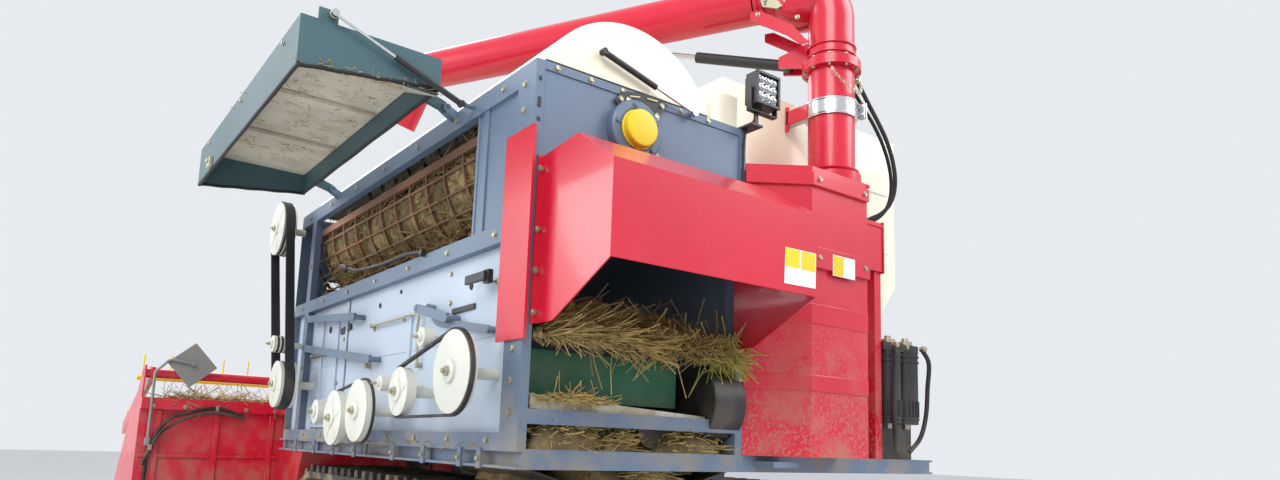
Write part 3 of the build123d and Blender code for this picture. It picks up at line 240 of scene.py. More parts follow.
wornLooks = {
    # columns colour, roughness, shade, dustTop, dust, and where they differ metal, coat, spatter, grain
    "redPaint": ((200, 9, 46), 0.3, 0.05, 1.45, 0.42, 0, 0.35),
    "muddyRed": ((200, 9, 46), 0.32, 0.05, 1.62, 0.7, 0, 0.3, 0.53),
    "slatePaint": ((96, 114, 136), 0.42, 0.1, 1.4, 0.85, 0, 0, 0.6),
    "panelPaint": ((176, 190, 206), 0.4, 0.06, 1.15, 0.45),
    "creamPaint": ((234, 229, 206), 0.32, 0.04, 1, 0.3, 0, 0.3),
    "dirtyLining": ((206, 200, 182), 0.55, 0.12, 3.2, 0.9, 0, 0, 0.57),
    "greenPaint": ((30, 98, 66), 0.45, 0.12, 1.3, 0.7),
    "tealPaint": ((58, 88, 96), 0.5, 0.1, 1, 0.2),
    "blackPaint": ((36, 36, 38), 0.42, 0.2, 1.2, 0.6),
    "darkSteel": ((84, 78, 70), 0.5, 0.3, 1.6, 0.5, 0.6),
    "castIron": ((150, 152, 148), 0.48, 0.15, 1.4, 0.45, 0.35),
    "palePaint": ((206, 208, 198), 0.42, 0.06, 1.2, 0.5, 0.05),
    "rustySteel": ((134, 98, 76), 0.55, 0.3, 1.3, 0.3, 0.5),
    "yellowPaint": ((232, 204, 20), 0.42, 0.12, 1, 0.3),
    "whitePaint": ((232, 232, 228), 0.4, 0.04, 1.3, 0.4),
    "beltRubber": ((34, 34, 36), 0.7, 0.25, 1.4, 0.5),
    "trackRubber": ((58, 55, 52), 0.8, 0.25, 1.6, 0.95, 0, 0, 0.66, 0.01),
    "brightSteel": ((205, 206, 208), 0.2, 0.05, 1, 0.3, 1),
    "zincSteel": ((176, 172, 150), 0.36, 0.1, 1.3, 0.4, 0.9),
    "seatVinyl": ((34, 34, 36), 0.5, 0.1, 1, 0.1, 0, 0, 0.66, 0.006),
    "chromeCap": ((220, 222, 224), 0.1, 0.02, 0.6, 0.1, 1),
}
strawLooks = {
    # two colours, size of the patches in metres
    "dryStraw": ((206, 178, 112), (160, 140, 84), 0.03),
    "oldStraw": ((150, 122, 62), (108, 98, 40), 0.05),
    "freshStraw": ((196, 186, 84), (132, 138, 44), 0.05),
    "wetChaff": ((118, 98, 62), (160, 136, 88), 0.02),
}
finishes = {name: wornFinish(name, *look) for name, look in wornLooks.items()}
finishes.update({name: strawFinish(name, *look) for name, look in strawLooks.items()})
finishes["lampGlass"] = glassFinish("lampGlass", (150, 156, 160))

# Which finish each node takes
nodeFinishes = {
    "muddyRed": "rear_column",
    "redPaint": "straw_hood post_plate tube_riser swivel_elbow unloading_tube engine_cover header_frame "
                "feeder_house canopy reel_arms header_auger",
    "slatePaint": "chassis_frame thresher_frame upper_rear_panel control_console tension_levers",
    "panelPaint": "thresher_side_panel",
    "creamPaint": "grain_tank drum_cover top_box",
    "greenPaint": "sieve_box",
    "tealPaint": "side_cover",
    "blackPaint": "undercarriage track_frames drive_axle header_barrel boom_barrel reel_barrels "
                  "side_strut_barrel drum_strut_barrel rear_filters work_lamp operator_floor fuel_tank",
    "darkSteel": "threshing_drum chaff_trough cutter_bar engine_block",
    "rustySteel": "concave_grate",
    "castIron": "marker_plate",
    "palePaint": "drive_pulleys",
    "yellowPaint": "shaft_cap crop_reel",
    "beltRubber": "drive_belts",
    "trackRubber": "left_track right_track",
    "brightSteel": "tube_clamp header_rod boom_rod reel_rods side_strut_rod drum_strut_rod",
    "seatVinyl": "operator_seat",
}
for finishName, nodeNames in nodeFinishes.items():
    for nodeName in nodeNames.split():
        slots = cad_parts[nodeName].data.materials
        slots.clear()
        slots.append(finishes[finishName])
print("finishes on the nodes")

# For each finish, the first node that takes it, and a node named for three finishes that no node takes;
# nothing below reads this table. Straw, glass and chrome have none
pieceSlots = {finishName: nodeNames.split()[0] for finishName, nodeNames in nodeFinishes.items()}
pieceSlots.update(dirtyLining="side_cover", zincSteel="tube_clamp", whitePaint="grain_tank")

# Shapes: each is worked out as whole arrays of points (in the machine's millimetres) and faces
toRight, toLeft = (1, 0, 0), (-1, 0, 0)
toFront, toRear = (0, 1, 0), (0, -1, 0)
toTop, toGround = (0, 0, 1), (0, 0, -1)


def unit(way):
    way = np.asarray(way, float)
    return way / np.linalg.norm(way, axis=-1, keepdims=True)


def onSide(x, places):
    return [(x, y, z) for y, z in places]


def onRear(y, places):
    return [(x, y, z) for x, z in places]


def fullTurn(count):
    return np.linspace(0, 2 * np.pi, count, endpoint=False)


def around(count, radius, first=0.0):
    # evenly spaced places on a circle
    turn = first + fullTurn(count)
    return np.stack((radius * np.cos(turn), radius * np.sin(turn)), 1)


def wrapFaces(rows, columns):
    # faces of a grid whose columns run round and close on the first
    at = np.arange(rows * columns).reshape(rows, columns)
    turned = np.roll(at, -1, axis=1)
    return np.stack((at[:-1], at[1:], turned[1:], turned[:-1]), axis=-1).reshape(-1, 4)


def ringed(rings):
    # rings[i, j] is point j of ring i; the grid between rings is closed at both ends by flat faces
    rows, columns = rings.shape[:2]
    last = (rows - 1) * columns
    first = np.arange(columns)[None]
    return rings.reshape(-1, 3), [wrapFaces(rows, columns), first, last + first[:, ::-1]]


def gridSheet(points, turnedOver=False):
    # an open sheet over a grid of points
    rows, columns = points.shape[:2]
    at = np.arange(rows * columns).reshape(rows, columns)
    faces = np.stack((at[:-1, :-1], at[1:, :-1], at[1:, 1:], at[:-1, 1:]), -1).reshape(-1, 4)
    return points.reshape(-1, 3), [faces[:, (0, 3, 2, 1)] if turnedOver else faces]


def tubeAlong(path, radius, sides=12, reference=toTop):
    # a circle carried along a path: point = path(i) + radius(i) * (cos(a) * side(i) + sin(a) * up(i)),
    # where side and up are square to the path
    path = np.asarray(path, float)
    ahead = unit(np.gradient(path, axis=0))
    side = unit(np.cross(ahead, reference))
    up = np.cross(side, ahead)
    turn = fullTurn(sides)[None, :, None]
    radii = np.broadcast_to(np.asarray(radius, float), len(path))[:, None, None]
    return ringed(path[:, None] + radii * (np.cos(turn) * side[:, None] + np.sin(turn) * up[:, None]))


def smoothPath(points, count):
    # a soft line through few points: each coordinate follows a cubic Hermite curve whose slope at a
    # point is half the step between its neighbours
    points = np.asarray(points, float)
    slope = np.gradient(points, axis=0)
    at = np.linspace(0, len(points) - 1, count)
    low = np.minimum(at.astype(int), len(points) - 2)
    t = (at - low)[:, None]
    weights = (2 * t**3 - 3 * t**2 + 1, t**3 - 2 * t**2 + t, 3 * t**2 - 2 * t**3, t**3 - t**2)
    parts = (points[low], slope[low], points[low + 1], slope[low + 1])
    return sum(weight * part for weight, part in zip(weights, parts))


def bentTube(points, count, radius, sides=12, reference=toTop):
    return tubeAlong(smoothPath(points, count), radius, sides, reference)


def lathed(profile, centre, axis, sides=32, spin=0.0):
    # rings about an axis: the profile gives each ring's distance along the axis and its radius
    profile = np.asarray(profile, float)
    axis = unit(axis)
    side = unit(np.cross(axis, toTop if abs(axis[2]) < 0.9 else toRight))
    up = np.cross(side, axis)
    turn = fullTurn(sides)[None, :, None] + spin
    middle = (np.asarray(centre, float) + profile[:, :1] * axis)[:, None]
    return ringed(middle + profile[:, 1, None, None] * (np.cos(turn) * side + np.sin(turn) * up))


def lathedAt(profile, places, axis, sides):
    return [lathed(profile, place, axis, sides) for place in places]


def hoop(half, inner, outer, centre, axis, sides):
    # a raised ring of a half width, with its edges taken off
    profile = ((-half, inner), (1 - half, outer), (half - 1, outer), (half, inner))
    return lathed(profile, centre, axis, sides)


def block(low, high):
    # a box between two corners
    low, high = np.asarray(low, float), np.asarray(high, float)
    square = ((0, 0), (1, 0), (1, 1), (0, 1))
    corners = np.array([(x, y, z) for z in (0, 1) for x, y in square])
    faces = np.array([(0, 3, 2, 1), (4, 5, 6, 7), (0, 1, 5, 4), (1, 2, 6, 5), (2, 3, 7, 6), (3, 0, 4, 7)])
    return low + corners * (high - low), [faces]


def blocks(pairs):
    return [block(*pair) for pair in pairs]


def plate(outline, origin, across, up, thick):
    # a flat outline in two directions, given a thickness along their cross product
    outline = np.asarray(outline, float)
    across, up = unit(across), unit(up)
    area = np.sum(outline[:, 0] * np.roll(outline[:, 1], -1) - np.roll(outline[:, 0], -1) * outline[:, 1])
    if area < 0:
        outline = outline[::-1]
    normal = np.cross(across, up)
    flat = np.asarray(origin, float) + outline[:, :1] * across + outline[:, 1:] * up
    flat = flat + min(thick, 0) * normal
    count = len(outline)
    at = np.arange(count)
    after = np.roll(at, -1)
    sides = np.stack((at, after, after + count, at + count), axis=1)
    return np.concatenate((flat, flat + normal * abs(thick))), [sides, at[None, ::-1], at[None] + count]


def sidePlate(outline, x, thick):
    return plate(outline, (x, 0, 0), toFront, toTop, thick)


def rearPlate(outline, y, thick):
    return plate(outline, (0, y, 0), toRight, toTop, thick)


def strands(starts, ways, lengths, radius, sag, seed):
    # many thin four-sided stalks of three points each: the middle point is lifted or lowered at
    # random by up to sag, and the four corners stand square round each point
    chance = np.random.default_rng(seed)
    starts, ways = np.asarray(starts, float), unit(ways)
    count = len(starts)
    lengths = np.asarray(lengths, float)[:, None]
    bow = chance.uniform(-1, 1, (count, 3)) * sag
    path = np.stack((starts, starts + ways * lengths * 0.5 + bow, starts + ways * lengths), axis=1)
    side = unit(np.cross(ways, (0.13, 0.21, 0.97)))[:, None, None]
    up = np.cross(side[:, 0, 0], ways)[:, None, None]
    turn = (np.arange(4) * np.pi / 2)[None, None, :, None]
    ring = np.cos(turn) * side + np.sin(turn) * up
    points = path[:, :, None] + ring * radius * chance.uniform(0.6, 1.3, (count, 1, 1, 1))
    one = np.concatenate((wrapFaces(3, 4), [(0, 1, 2, 3), (11, 10, 9, 8)]))
    return points.reshape(-1, 3), [(one[None] + 12 * np.arange(count)[:, None, None]).reshape(-1, 4)]


def hexBolts(places, axis, size=9.0, head=7.0, washer=True):
    # for each place a washer and a six-sided head with a dished top, as rings about the axis
    shapes = []
    for number, place in enumerate(places):
        if washer:
            shapes.append(lathed(((-1, size * 1.25), (2, size * 1.25), (2.2, size * 1.1)), place, axis, 16))
        rings = ((0, size), (head * 0.8, size), (head, size * 0.82), (head * 0.9, size * 0.3))
        shapes.append(lathed(rings, place, axis, 6, 0.4 * number))
    return shapes


def makePiece(name, shapes, finish, body="base", crease=35.0, bevel=0.0):
    # joins shapes into one mesh, gives it its finish and lets it ride on a body
    points, faces, total = [], [], 0
    for corners, groups in shapes:
        points.append(corners)
        for group in groups:
            faces.extend((group + total).tolist())
        total += len(corners)
    mesh = bpy.data.meshes.new(name)
    mesh.from_pydata(toFrame(np.concatenate(points)).tolist(), [], faces)
    mesh.materials.append(finishes[finish])
    mesh.shade_smooth()
    mesh.set_sharp_from_angle(angle=math.radians(crease))
    piece = bpy.data.objects.new(name, mesh)
    bpy.context.scene.collection.objects.link(piece)
    if bevel:
        edge = piece.modifiers.new("edge", "BEVEL")
        edge.width = bevel / 1000
        edge.segments = 2
        edge.limit_method = "ANGLE"
        edge.angle_limit = math.radians(40)
    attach(piece, body)
    return piece


def thicken(piece, thickness, offset=-1.0):
    wall = piece.modifiers.new("wall", "SOLIDIFY")
    wall.thickness = thickness
    wall.offset = offset


# Straw: an arc of it behind the concave grate, a wedge on the sill, the hood full of it

def scattered(chance, count, spread, lean=(0, 0, 0)):
    # random ways, spread differently along the three axes and leaned one way
    return chance.normal(0, 1, (count, 3)) * spread + lean


def heap(middle, reach, height, seed, rings=14, sides=48):
    # a mound: point = middle + (reachX * r * cos(a), reachY * r * sin(a), height * (1 - r * r) ^ 0.8), with
    # the rim and the height swelled by a few slow waves of the angle
    chance = np.random.default_rng(seed)
    r = np.linspace(1, 0.03, rings)[:, None]
    a = fullTurn(sides)[None]
    wave = sum(chance.uniform(-0.09, 0.09) * np.sin(k * a + chance.uniform(0, 6)) for k in range(2, 9))
    bump = chance.normal(0, 0.045, (rings, sides)) * (r < 0.97)
    x = reach[0] * r * (1 + wave) * np.cos(a)
    y = reach[1] * r * (1 + wave) * np.sin(a)
    z = height * ((1 - r**2) ** 0.8 * (1 + 1.4 * wave) + bump)
    return ringed(np.stack((middle[0] + x, middle[1] + y, middle[2] + np.maximum(z, 0)), axis=-1))


openingStraw = {
    "drum": (-620, 1755), "y": (380, 2110), "edge": -932, "length": (50, 230), "radius": 1.6,
    "packed": 2600, "arc": (172, 300), "reach": (284, 311),     # degrees, and radii between drum and grate
    "wedge": 900, "wedgeX": (-936, -690), "wedgeY": (385, 2105), "depth": (8, 240),
    "sill": 1428, "grate": 322,     # height of the sill, radius of the grate
    "matRings": 26, "matColumns": 120, "matArc": (184, 300), "matRadius": 297, "matThick": 0.006,
}


def makeOpeningStraw(look):
    # stalks lie along the drum between two radii, others fill the corner between grate and sill, and a
    # rough mat closes the gaps behind them
    chance = np.random.default_rng(11)
    drumX, drumZ = look["drum"]
    count = look["packed"]
    turn = np.radians(chance.uniform(*look["arc"], count))
    r = chance.uniform(*look["reach"], count)
    y = chance.uniform(*look["y"], count)
    starts = np.stack((drumX + r * np.cos(turn), y, drumZ + r * np.sin(turn)), 1)
    circling = np.stack((-np.sin(turn), np.zeros(count), np.cos(turn)), 1)
    ways = circling * chance.normal(0, 0.6, (count, 1))
    ways = ways + np.array(toFront) * chance.choice((-1, 1), (count, 1))
    packed = strands(starts, ways, chance.uniform(*look["length"], count) * 0.7, look["radius"], 7, 12)
    count = look["wedge"]
    x = chance.uniform(*look["wedgeX"], count)
    room = drumZ - np.sqrt(np.maximum(look["grate"]**2 - (x - drumX)**2, 0)) - look["sill"]
    z = look["sill"] + np.clip(room, *look["depth"]) * chance.uniform(0, 1, count) ** 1.6
    starts = np.stack((x, chance.uniform(*look["wedgeY"], count), z), 1)
    ways = scattered(chance, count, (0.35, 1, 0.3))
    wedge = strands(starts, ways, chance.uniform(*look["length"], count) * 0.8, look["radius"], 8, 13)
    for stalks, _ in (packed, wedge):
        stalks[:, 0] = np.maximum(stalks[:, 0], look["edge"])
    makePiece("openingStraw", [packed, wedge], "oldStraw")
    rings, columns = look["matRings"], look["matColumns"]
    turn = np.radians(np.linspace(*look["matArc"], rings))[:, None]
    along = np.linspace(*look["y"], columns)[None]
    swell = look["matRadius"] + 6 * np.sin(along / 37 + 5 * turn) * np.sin(along / 23)
    swell = swell + chance.normal(0, 2.5, (rings, columns))
    points = np.stack((drumX + swell * np.cos(turn), along + 0 * turn, drumZ + swell * np.sin(turn)), -1)
    thicken(makePiece("mattedStraw", [gridSheet(points)], "wetChaff", crease=80), look["matThick"])


makeOpeningStraw(openingStraw)

hoodStraw = {
    # the mat's section: y and z from its hanging lip up into the dark
    "section": ((-10, 1092), (4, 1084), (20, 1104), (70, 1128), (130, 1164), (210, 1200), (330, 1220)),
    "x": (-928, -150), "rows": 34, "columns": 110, "thick": 0.02, "radius": 1.4,
    "lying": 3200, "parting": -530,     # stalks point away from this x
    "hanging": 300,
    "tuft": 240, "tuftX": (-215, 38), "tuftY": (-30, 60), "tuftZ": (1080, 1160), "tuftRadius": 1.6,
}


def makeHoodStraw(look):
    # the section is carried across the machine and swelled by slow waves; stalks lie on it, hang from
    # its lip, and a green tuft hangs at its right end
    chance = np.random.default_rng(21)
    rows, columns, radius = look["rows"], look["columns"], look["radius"]
    section = smoothPath([(0, y, z) for y, z in look["section"]], rows)[:, 1:]
    x = np.linspace(*look["x"], columns)
    wave = (10 * np.sin(x / 70) + 6 * np.sin(x / 23))[None]
    rough = chance.normal(0, 4, (rows, columns))
    y = section[:, :1] + 0.5 * wave + rough * 0.6 + 0 * x
    points = np.stack((x[None] + 0 * y, y, section[:, 1:] + wave + rough), -1)
    thicken(makePiece("strawBed", [gridSheet(points, True)], "wetChaff", crease=80), look["thick"])
    count = look["lying"]
    row = np.minimum((rows * chance.uniform(0, 1, count) ** 1.4).astype(int), rows - 1)
    column = chance.integers(4, columns - 4, count)
    starts = points[row, column] + chance.normal(0, 3, (count, 3)) + (0, -3, 5)
    ways = scattered(chance, count, (1, 0.45, 0.16), (0, -0.1, -0.03))
    ways[:, 0] = np.abs(ways[:, 0]) * np.sign(look["parting"] - starts[:, 0])
    shapes = [strands(starts, ways, chance.uniform(40, 150, count), radius, 9, 22)]
    count = look["hanging"]
    starts = points[chance.integers(0, 5, count), chance.integers(2, columns - 2, count)]
    ways = scattered(chance, count, (0.5, 0.25, 0.4), (0, -0.15, -0.9))
    lengths = chance.uniform(12, 42, count) * np.where(chance.uniform(0, 1, count) > 0.96, 4.5, 1)
    shapes.append(strands(starts, ways, lengths, radius, 6, 23))
    makePiece("hoodStraw", shapes, "dryStraw")
    count = look["tuft"]
    starts = np.stack((chance.normal(*look["tuftX"], count), chance.uniform(*look["tuftY"], count),
                       chance.uniform(*look["tuftZ"], count)), 1)
    ways = scattered(chance, count, (0.5, 0.3, 0.4), (0.55, -0.2, -0.75))
    tuft = strands(starts, ways, chance.uniform(50, 150, count), look["tuftRadius"], 12, 24)
    makePiece("hoodTuft", [tuft], "freshStraw")


makeHoodStraw(hoodStraw)

chaffLook = {
    # columns middle, reach, height
    "heaps": (
        ((-640, 330, 655), (215, 240), 190),
        ((-250, 330, 690), (100, 200), 95),
        ((-480, 120, 650), (150, 55), 130),
        ((-790, 70, 752), (138, 62), 118),
        ((-610, 80, 752), (90, 60), 70),
        ((-300, 80, 752), (150, 62), 104),
        ((-780, 16, 896), (110, 16), 16),
    ),
    # x, y of the ridges on the deck's edge
    "ridges": ((-956, 330), (-952, 760), (-957, 1130), (-950, 1620), (-955, 1900)),
    "ridge": (761, (17, 120), 22),      # their height above the ground, reach and height
    "stalks": 2600,
    # loose stalks: how many, ranges of x, y and z
    "edge": (500, (-968, -946), (150, 2250), (762, 776)),
    "header": (900, (-1440, -60), (2992, 3010), (946, 962)),
}


def makeChaff(look):
    chance = np.random.default_rng(31)
    ridgeZ, ridgeReach, ridgeHeight = look["ridge"]
    shapes = [heap(*row, 40 + number) for number, row in enumerate(look["heaps"])]
    shapes += [heap((x, y, ridgeZ), ridgeReach, ridgeHeight, 50 + number)
               for number, (x, y) in enumerate(look["ridges"])]
    makePiece("chaffHeaps", shapes, "wetChaff", crease=80)
    count = look["stalks"]
    pick = chance.integers(0, len(look["heaps"]), count)
    middles, reaches, heights = (np.array([row[part] for row in look["heaps"]])[pick] for part in range(3))
    turn = chance.uniform(0, 2 * np.pi, count)
    r = np.sqrt(chance.uniform(0, 0.95, count))
    starts = middles + np.stack((reaches[:, 0] * r * np.cos(turn), reaches[:, 1] * r * np.sin(turn),
                                 heights * (1 - r**2) ** 0.8 + 3), 1)
    ways = scattered(chance, count, (1, 1, 0.22))
    stalks = [strands(starts, ways, chance.uniform(20, 80, count), 1.5, 5, 32)]
    count, xs, ys, zs = look["edge"]
    y = chance.uniform(*ys, count)
    starts = np.stack((chance.uniform(*xs, count), y, chance.uniform(*zs, count)), 1)
    ways = scattered(chance, count, (0.3, 1, 0.12))
    stalks.append(strands(starts, ways, chance.uniform(12, 50, count), 1.3, 3, 33))
    makePiece("chaffStalks", stalks, "dryStraw")
    count, xs, ys, zs = look["header"]
    starts = np.stack([chance.uniform(*span, count) for span in (xs, ys, zs)], 1)
    ways = scattered(chance, count, (1, 0.5, 0.5))
    hung = strands(starts, ways, chance.uniform(30, 130, count), 1.7, 10, 34)
    makePiece("headerStraw", [hung], "dryStraw", "header")


makeChaff(chaffLook)
print("straw laid")

boltRows = {
    # places y, z on the left, and x, z on the other walls
    "left": [(y, z) for z in (1397, 1862) for y in range(200, 2340, 340)]
            + [(y, 782) for y in range(180, 2300, 265)] + [(52, z) for z in range(860, 1060, 90)]
            + [(60, 1750), (60, 1830), (2160, 1100), (2160, 1600)],
    "rear": [(-136, z) for z in (900, 1010)] + [(x, 1881) for x in range(-900, -180, 120)],
    "hood": [(-944, z) for z in (1140, 1260, 1380, 1560)] + [(-146, z) for z in (1140, 1290, 1440, 1570)],
    "column": [(96, 1727), (344, 1727), (96, 1446), (344, 1446)],
    "header": [(x, z) for row in (range(-1480, -860, 150), range(-220, 740, 150)) for x in row
               for z in (300, 905)],
    "leftWall": -972, "hoodWall": -6, "columnLedge": -153,
    "headerWall": 2995, "headerBeam": 2955, "beamZ": 888,
}


def makeBolts(look):
    frameBolts = hexBolts(onSide(look["leftWall"], look["left"]), toLeft)
    frameBolts += hexBolts(onRear(0, look["rear"]), toRear, 8)
    makePiece("frameBolts", frameBolts, "zincSteel")
    makePiece("hoodBolts", hexBolts(onRear(look["hoodWall"], look["hood"]), toRear, 8), "zincSteel")
    makePiece("columnBolts", hexBolts(onRear(look["columnLedge"], look["column"]), toRear, 8), "zincSteel")
    wall, beam, beamZ = look["headerWall"], look["headerBeam"], look["beamZ"]
    places = [(x, beam if z > beamZ else wall, z) for x, z in look["header"]]
    makePiece("headerBolts", hexBolts(places, toRear, 9), "zincSteel", "header")


makeBolts(boltRows)

pulleyLook = {
    "x": -1075,
    # columns y, z, radius, half width, spokes
    "rows": (
        (195, 973, 120, 13, 0), (583, 928, 78, 15, 5), (420, 1091, 31, 17, 0), (975, 872, 110, 15, 0),
        (749, 960, 26, 17, 0), (1239, 848, 103, 15, 5), (1461, 874, 48, 17, 0), (2050, 1008, 106, 37, 4),
        (2170, 1204, 40, 37, 0), (2330, 1800, 132, 30, 6),
    ),
    # profiles: along the axis, and a share of the pulley's radius or of the hub's
    "rim": ((0, 0.99), (2, 1.015), (5, 1.01), (6, 0.97)),
    "groove": ((0, 1.012), (5, 1.03), (10, 1.012)),
    "hub": ((-8, 1), (10, 1), (12, 0.92), (12.5, 0.5)),
    # washer, nut and stud: sides, profile
    "nuts": ((24, ((10, 0.62), (12, 0.62))), (6, ((12, 0.46), (20, 0.46), (22, 0.38), (22, 0.2))),
             (16, ((20, 0.22), (30, 0.22), (31, 0.18)))),
}


def makePulleyFaces(look):
    # on each outer face a rolled rim edge and a hub with its nut; raised spokes on a dark ring, painted
    # shade for the openings between them, or three dark discs, painted shade for the holes in a large plain
    # disc;
    # dark rings for the belt grooves round the wide ones
    metal, nuts, dark = [], [], []

    def turned(profile, radius, x, sides):
        return lathed([(along, radius * share) for along, share in profile], (x, y, z), toLeft, sides)

    for y, z, radius, half, spokes in look["rows"]:
        face = look["x"] - half
        hub = 34 if radius > 60 else radius * 0.5
        metal.append(turned(look["rim"], radius, face + 3, 48))
        metal.append(turned(look["hub"], hub, face, 32))
        nuts += [turned(profile, hub, face, sides) for sides, profile in look["nuts"]]
        if spokes:
            # painted shade: a dark ring behind the spokes stands for the openings between them
            ring = ((0, hub + 3), (0.5, hub + 3), (0.5, radius * 0.82), (0, radius * 0.82))
            dark.append(lathed(ring, (face - 0.3, y, z), toLeft, 48))
        for along in around(spokes, 1, 0.3):
            side = np.array((-along[1], along[0]))
            corners = [hub * 0.7 * along + 15 * side, hub * 0.7 * along - 15 * side,
                       radius * 0.9 * along - 9 * side, radius * 0.9 * along + 9 * side]
            metal.append(sidePlate(np.array(corners) + (y, z), face + 1, -6))
        if radius > 100 and not spokes:
            holes = around(3, radius * 0.58, 0.5) + (y, z)
            # painted shade: dark discs stand for the three holes
            dark += lathedAt(((0, 9), (0.8, 9), (0.9, 7.5)), onSide(face, holes), toLeft, 20)
        if half > 20:
            dark += [turned(look["groove"], radius, look["x"] + x, 40) for x in (22, 4, -14)]
    makePiece("pulleyFaces", metal, "palePaint", bevel=0.8)
    makePiece("pulleyNuts", nuts, "zincSteel")
    # the dark ring and discs are painted shade; the dark groove rings ride in the same piece
    makePiece("pulleyShadeAndGrooves", dark, "beltRubber")


makePulleyFaces(pulleyLook)

# Rods, handle, holes and seams of the left side panel: places y, z
sideFittings = {
    "panel": -942, "rodX": -958,
    "rods": (((1265, 1220), (1030, 1221), (803, 1219), (790, 1160), (769, 1034)),
             ((334, 1286), (300, 1290), (240, 1262), (189, 1253)),
             ((2060, 1150), (1700, 1135), (1320, 1096), (1290, 1060))),
    "bars": (((529, 1209), (364, 1210), (364, 1192), (529, 1191)),
             ((1690, 1250), (1560, 1262), (1548, 1236), (1680, 1222))),
    "handleX": -986, "handle": ((1553, 1500), (1400, 1466), (1120, 1448), (880, 1446), (736, 1430)),
    # y, z, radius
    "holes": ((403, 1270, 9), (422, 1201, 6), (1226, 1301, 8), (1010, 1330, 6), (1850, 1260, 12)),
    "seams": (((-944, 44, 1093), (-941.8, 2370, 1099)), ((-945, 1594, 765), (-941.8, 1600, 1364))),
    "louvre": ((0, 14), (-12, 3), (-11, 1), (0, 10)),
    "louvreZ": range(790, 950, 24), "louvreY": (2040, 340),     # and where it starts, how wide it is
}


def makeSideFittings(look):
    rods, panel = [], look["panel"]
    for row in look["rods"]:
        rods.append(bentTube(onSide(look["rodX"], row), 30, 5, 10, toRight))
        rods += lathedAt(((0, 9), (22, 9), (24, 7)), onSide(panel + 1, (row[0], row[-1])), toLeft, 18)
    makePiece("sideRods", rods, "zincSteel")
    bars = [sidePlate(row, -949, 6) for row in look["bars"]]
    handle = onSide(look["handleX"], look["handle"])
    bars.append(bentTube(handle, 40, 6.5, 12, toRight))
    bars.append(lathed(((0, 14), (18, 14), (20, 10)), (-972, *handle[-1][1:]), toLeft, 20))
    bars.append(lathed(((-14, 9), (-8, 12), (70, 13), (78, 9)), handle[0], (0, 0.94, 0.2), 20))
    makePiece("sideBars", bars, "blackPaint", bevel=1)
    rings = [lathed(((0, r * 1.35), (2.5, r * 1.3), (2.6, r), (0.5, r * 0.96)), (panel, y, z), toLeft, 24)
             for y, z, r in look["holes"]]
    makePiece("sideGrommets", rings, "beltRubber")
    start, wide = look["louvreY"]
    edge = blocks(look["seams"])
    for z in look["louvreZ"]:
        outline = [(x, z + rise) for x, rise in look["louvre"]]
        edge.append(plate(outline, (panel, start, 0), toRight, toTop, wide))
    makePiece("panelSeams", edge, "panelPaint", bevel=0.6)


makeSideFittings(sideFittings)

# Open side cover: cream lining, rubber lip, catches and caught straw
coverTrim = {
    "outer": -1532, "inner": -1089, "y": (420, 1960),
    # the lining's plates: side or rear, outline, where it starts, thickness
    "lining": (
        (False, ((-1468, 1996), (-1097, 1992), (-1097, 1989), (-1468, 1992)), 720, -1234),
        (True, ((425, 1878), (720, 1994), (722, 1991), (429, 1876)), -1472, 377),
        (False, ((-1521, 1856), (-1463, 2000), (-1460, 1999), (-1518, 1856)), 428, -1524),
        (False, ((-1462, 1990), (-1101, 1988), (-1119, 1974), (-1448, 1974)), 980, -46),
        (False, ((-1462, 1990), (-1101, 1988), (-1119, 1974), (-1448, 1974)), 1460, -46),
    ),
    "lip": ((-1526, 424, 1850), (-1526, 1956, 1850), (-1091, 1956, 1903), (-1091, 424, 1903)),
    "catch": (((-1546, 1640, 1852), (-1533, 1700, 1890)), ((-1554, 1655, 1870), (-1544, 1685, 1884))),
    "bolts": ((600, 1980), (1180, 1980), (1760, 1980)), "pivot": (-1441, 408, 2029),
    "straw": 420, "onEnd": 200,
}


def makeCoverTrim(look):
    (y0, y1), outer, inner = look["y"], look["outer"], look["inner"]
    lining = [(sidePlate if side else rearPlate)(*row) for side, *row in look["lining"]]
    makePiece("coverLining", lining, "dirtyLining", "side_lid", bevel=1.2)
    corners, lip = look["lip"], []
    for first, second in zip(corners, corners[1:] + corners[:1]):
        run = np.linspace(first, second, 24)
        run[:, 2] += 1.2 * np.sin(np.linspace(0, 24, 24))
        lip.append(tubeAlong(run, 6.5, 10, (0.2, 0.1, 1)))
    lip += lathedAt(((-7, 6.6), (7, 6.6)), corners, toTop, 14)
    makePiece("coverLip", lip, "beltRubber", "side_lid")
    catch = blocks(look["catch"]) + hexBolts(onSide(outer - 1, look["bolts"]), toLeft, 7)
    catch.append(lathed(((-3, 12), (0, 14), (5, 14), (6, 11)), look["pivot"], toFront, 20))
    makePiece("coverCatch", catch, "zincSteel", "side_lid", bevel=1.5)
    chance = np.random.default_rng(61)
    count, split = look["straw"], look["onEnd"]
    x = chance.uniform(outer + 20, inner - 20, count)
    starts = np.stack((x, np.full(count, y0 + 14), np.zeros(count)), 1)
    starts[split:, 1] = chance.uniform(y0 + 60, y1 - 200, count - split)
    starts[:, 2] = np.interp(starts[:, 0], (outer, inner), (1862, 1884)) + chance.uniform(0, 14, count)
    starts[split:, 2] = 1978
    ways = scattered(chance, count, (1, 0.5, 0.12))
    bits = strands(starts, ways, chance.uniform(12, 46, count), 1.2, 4, 62)
    makePiece("coverStraw", [bits], "dryStraw", "side_lid")


makeCoverTrim(coverTrim)

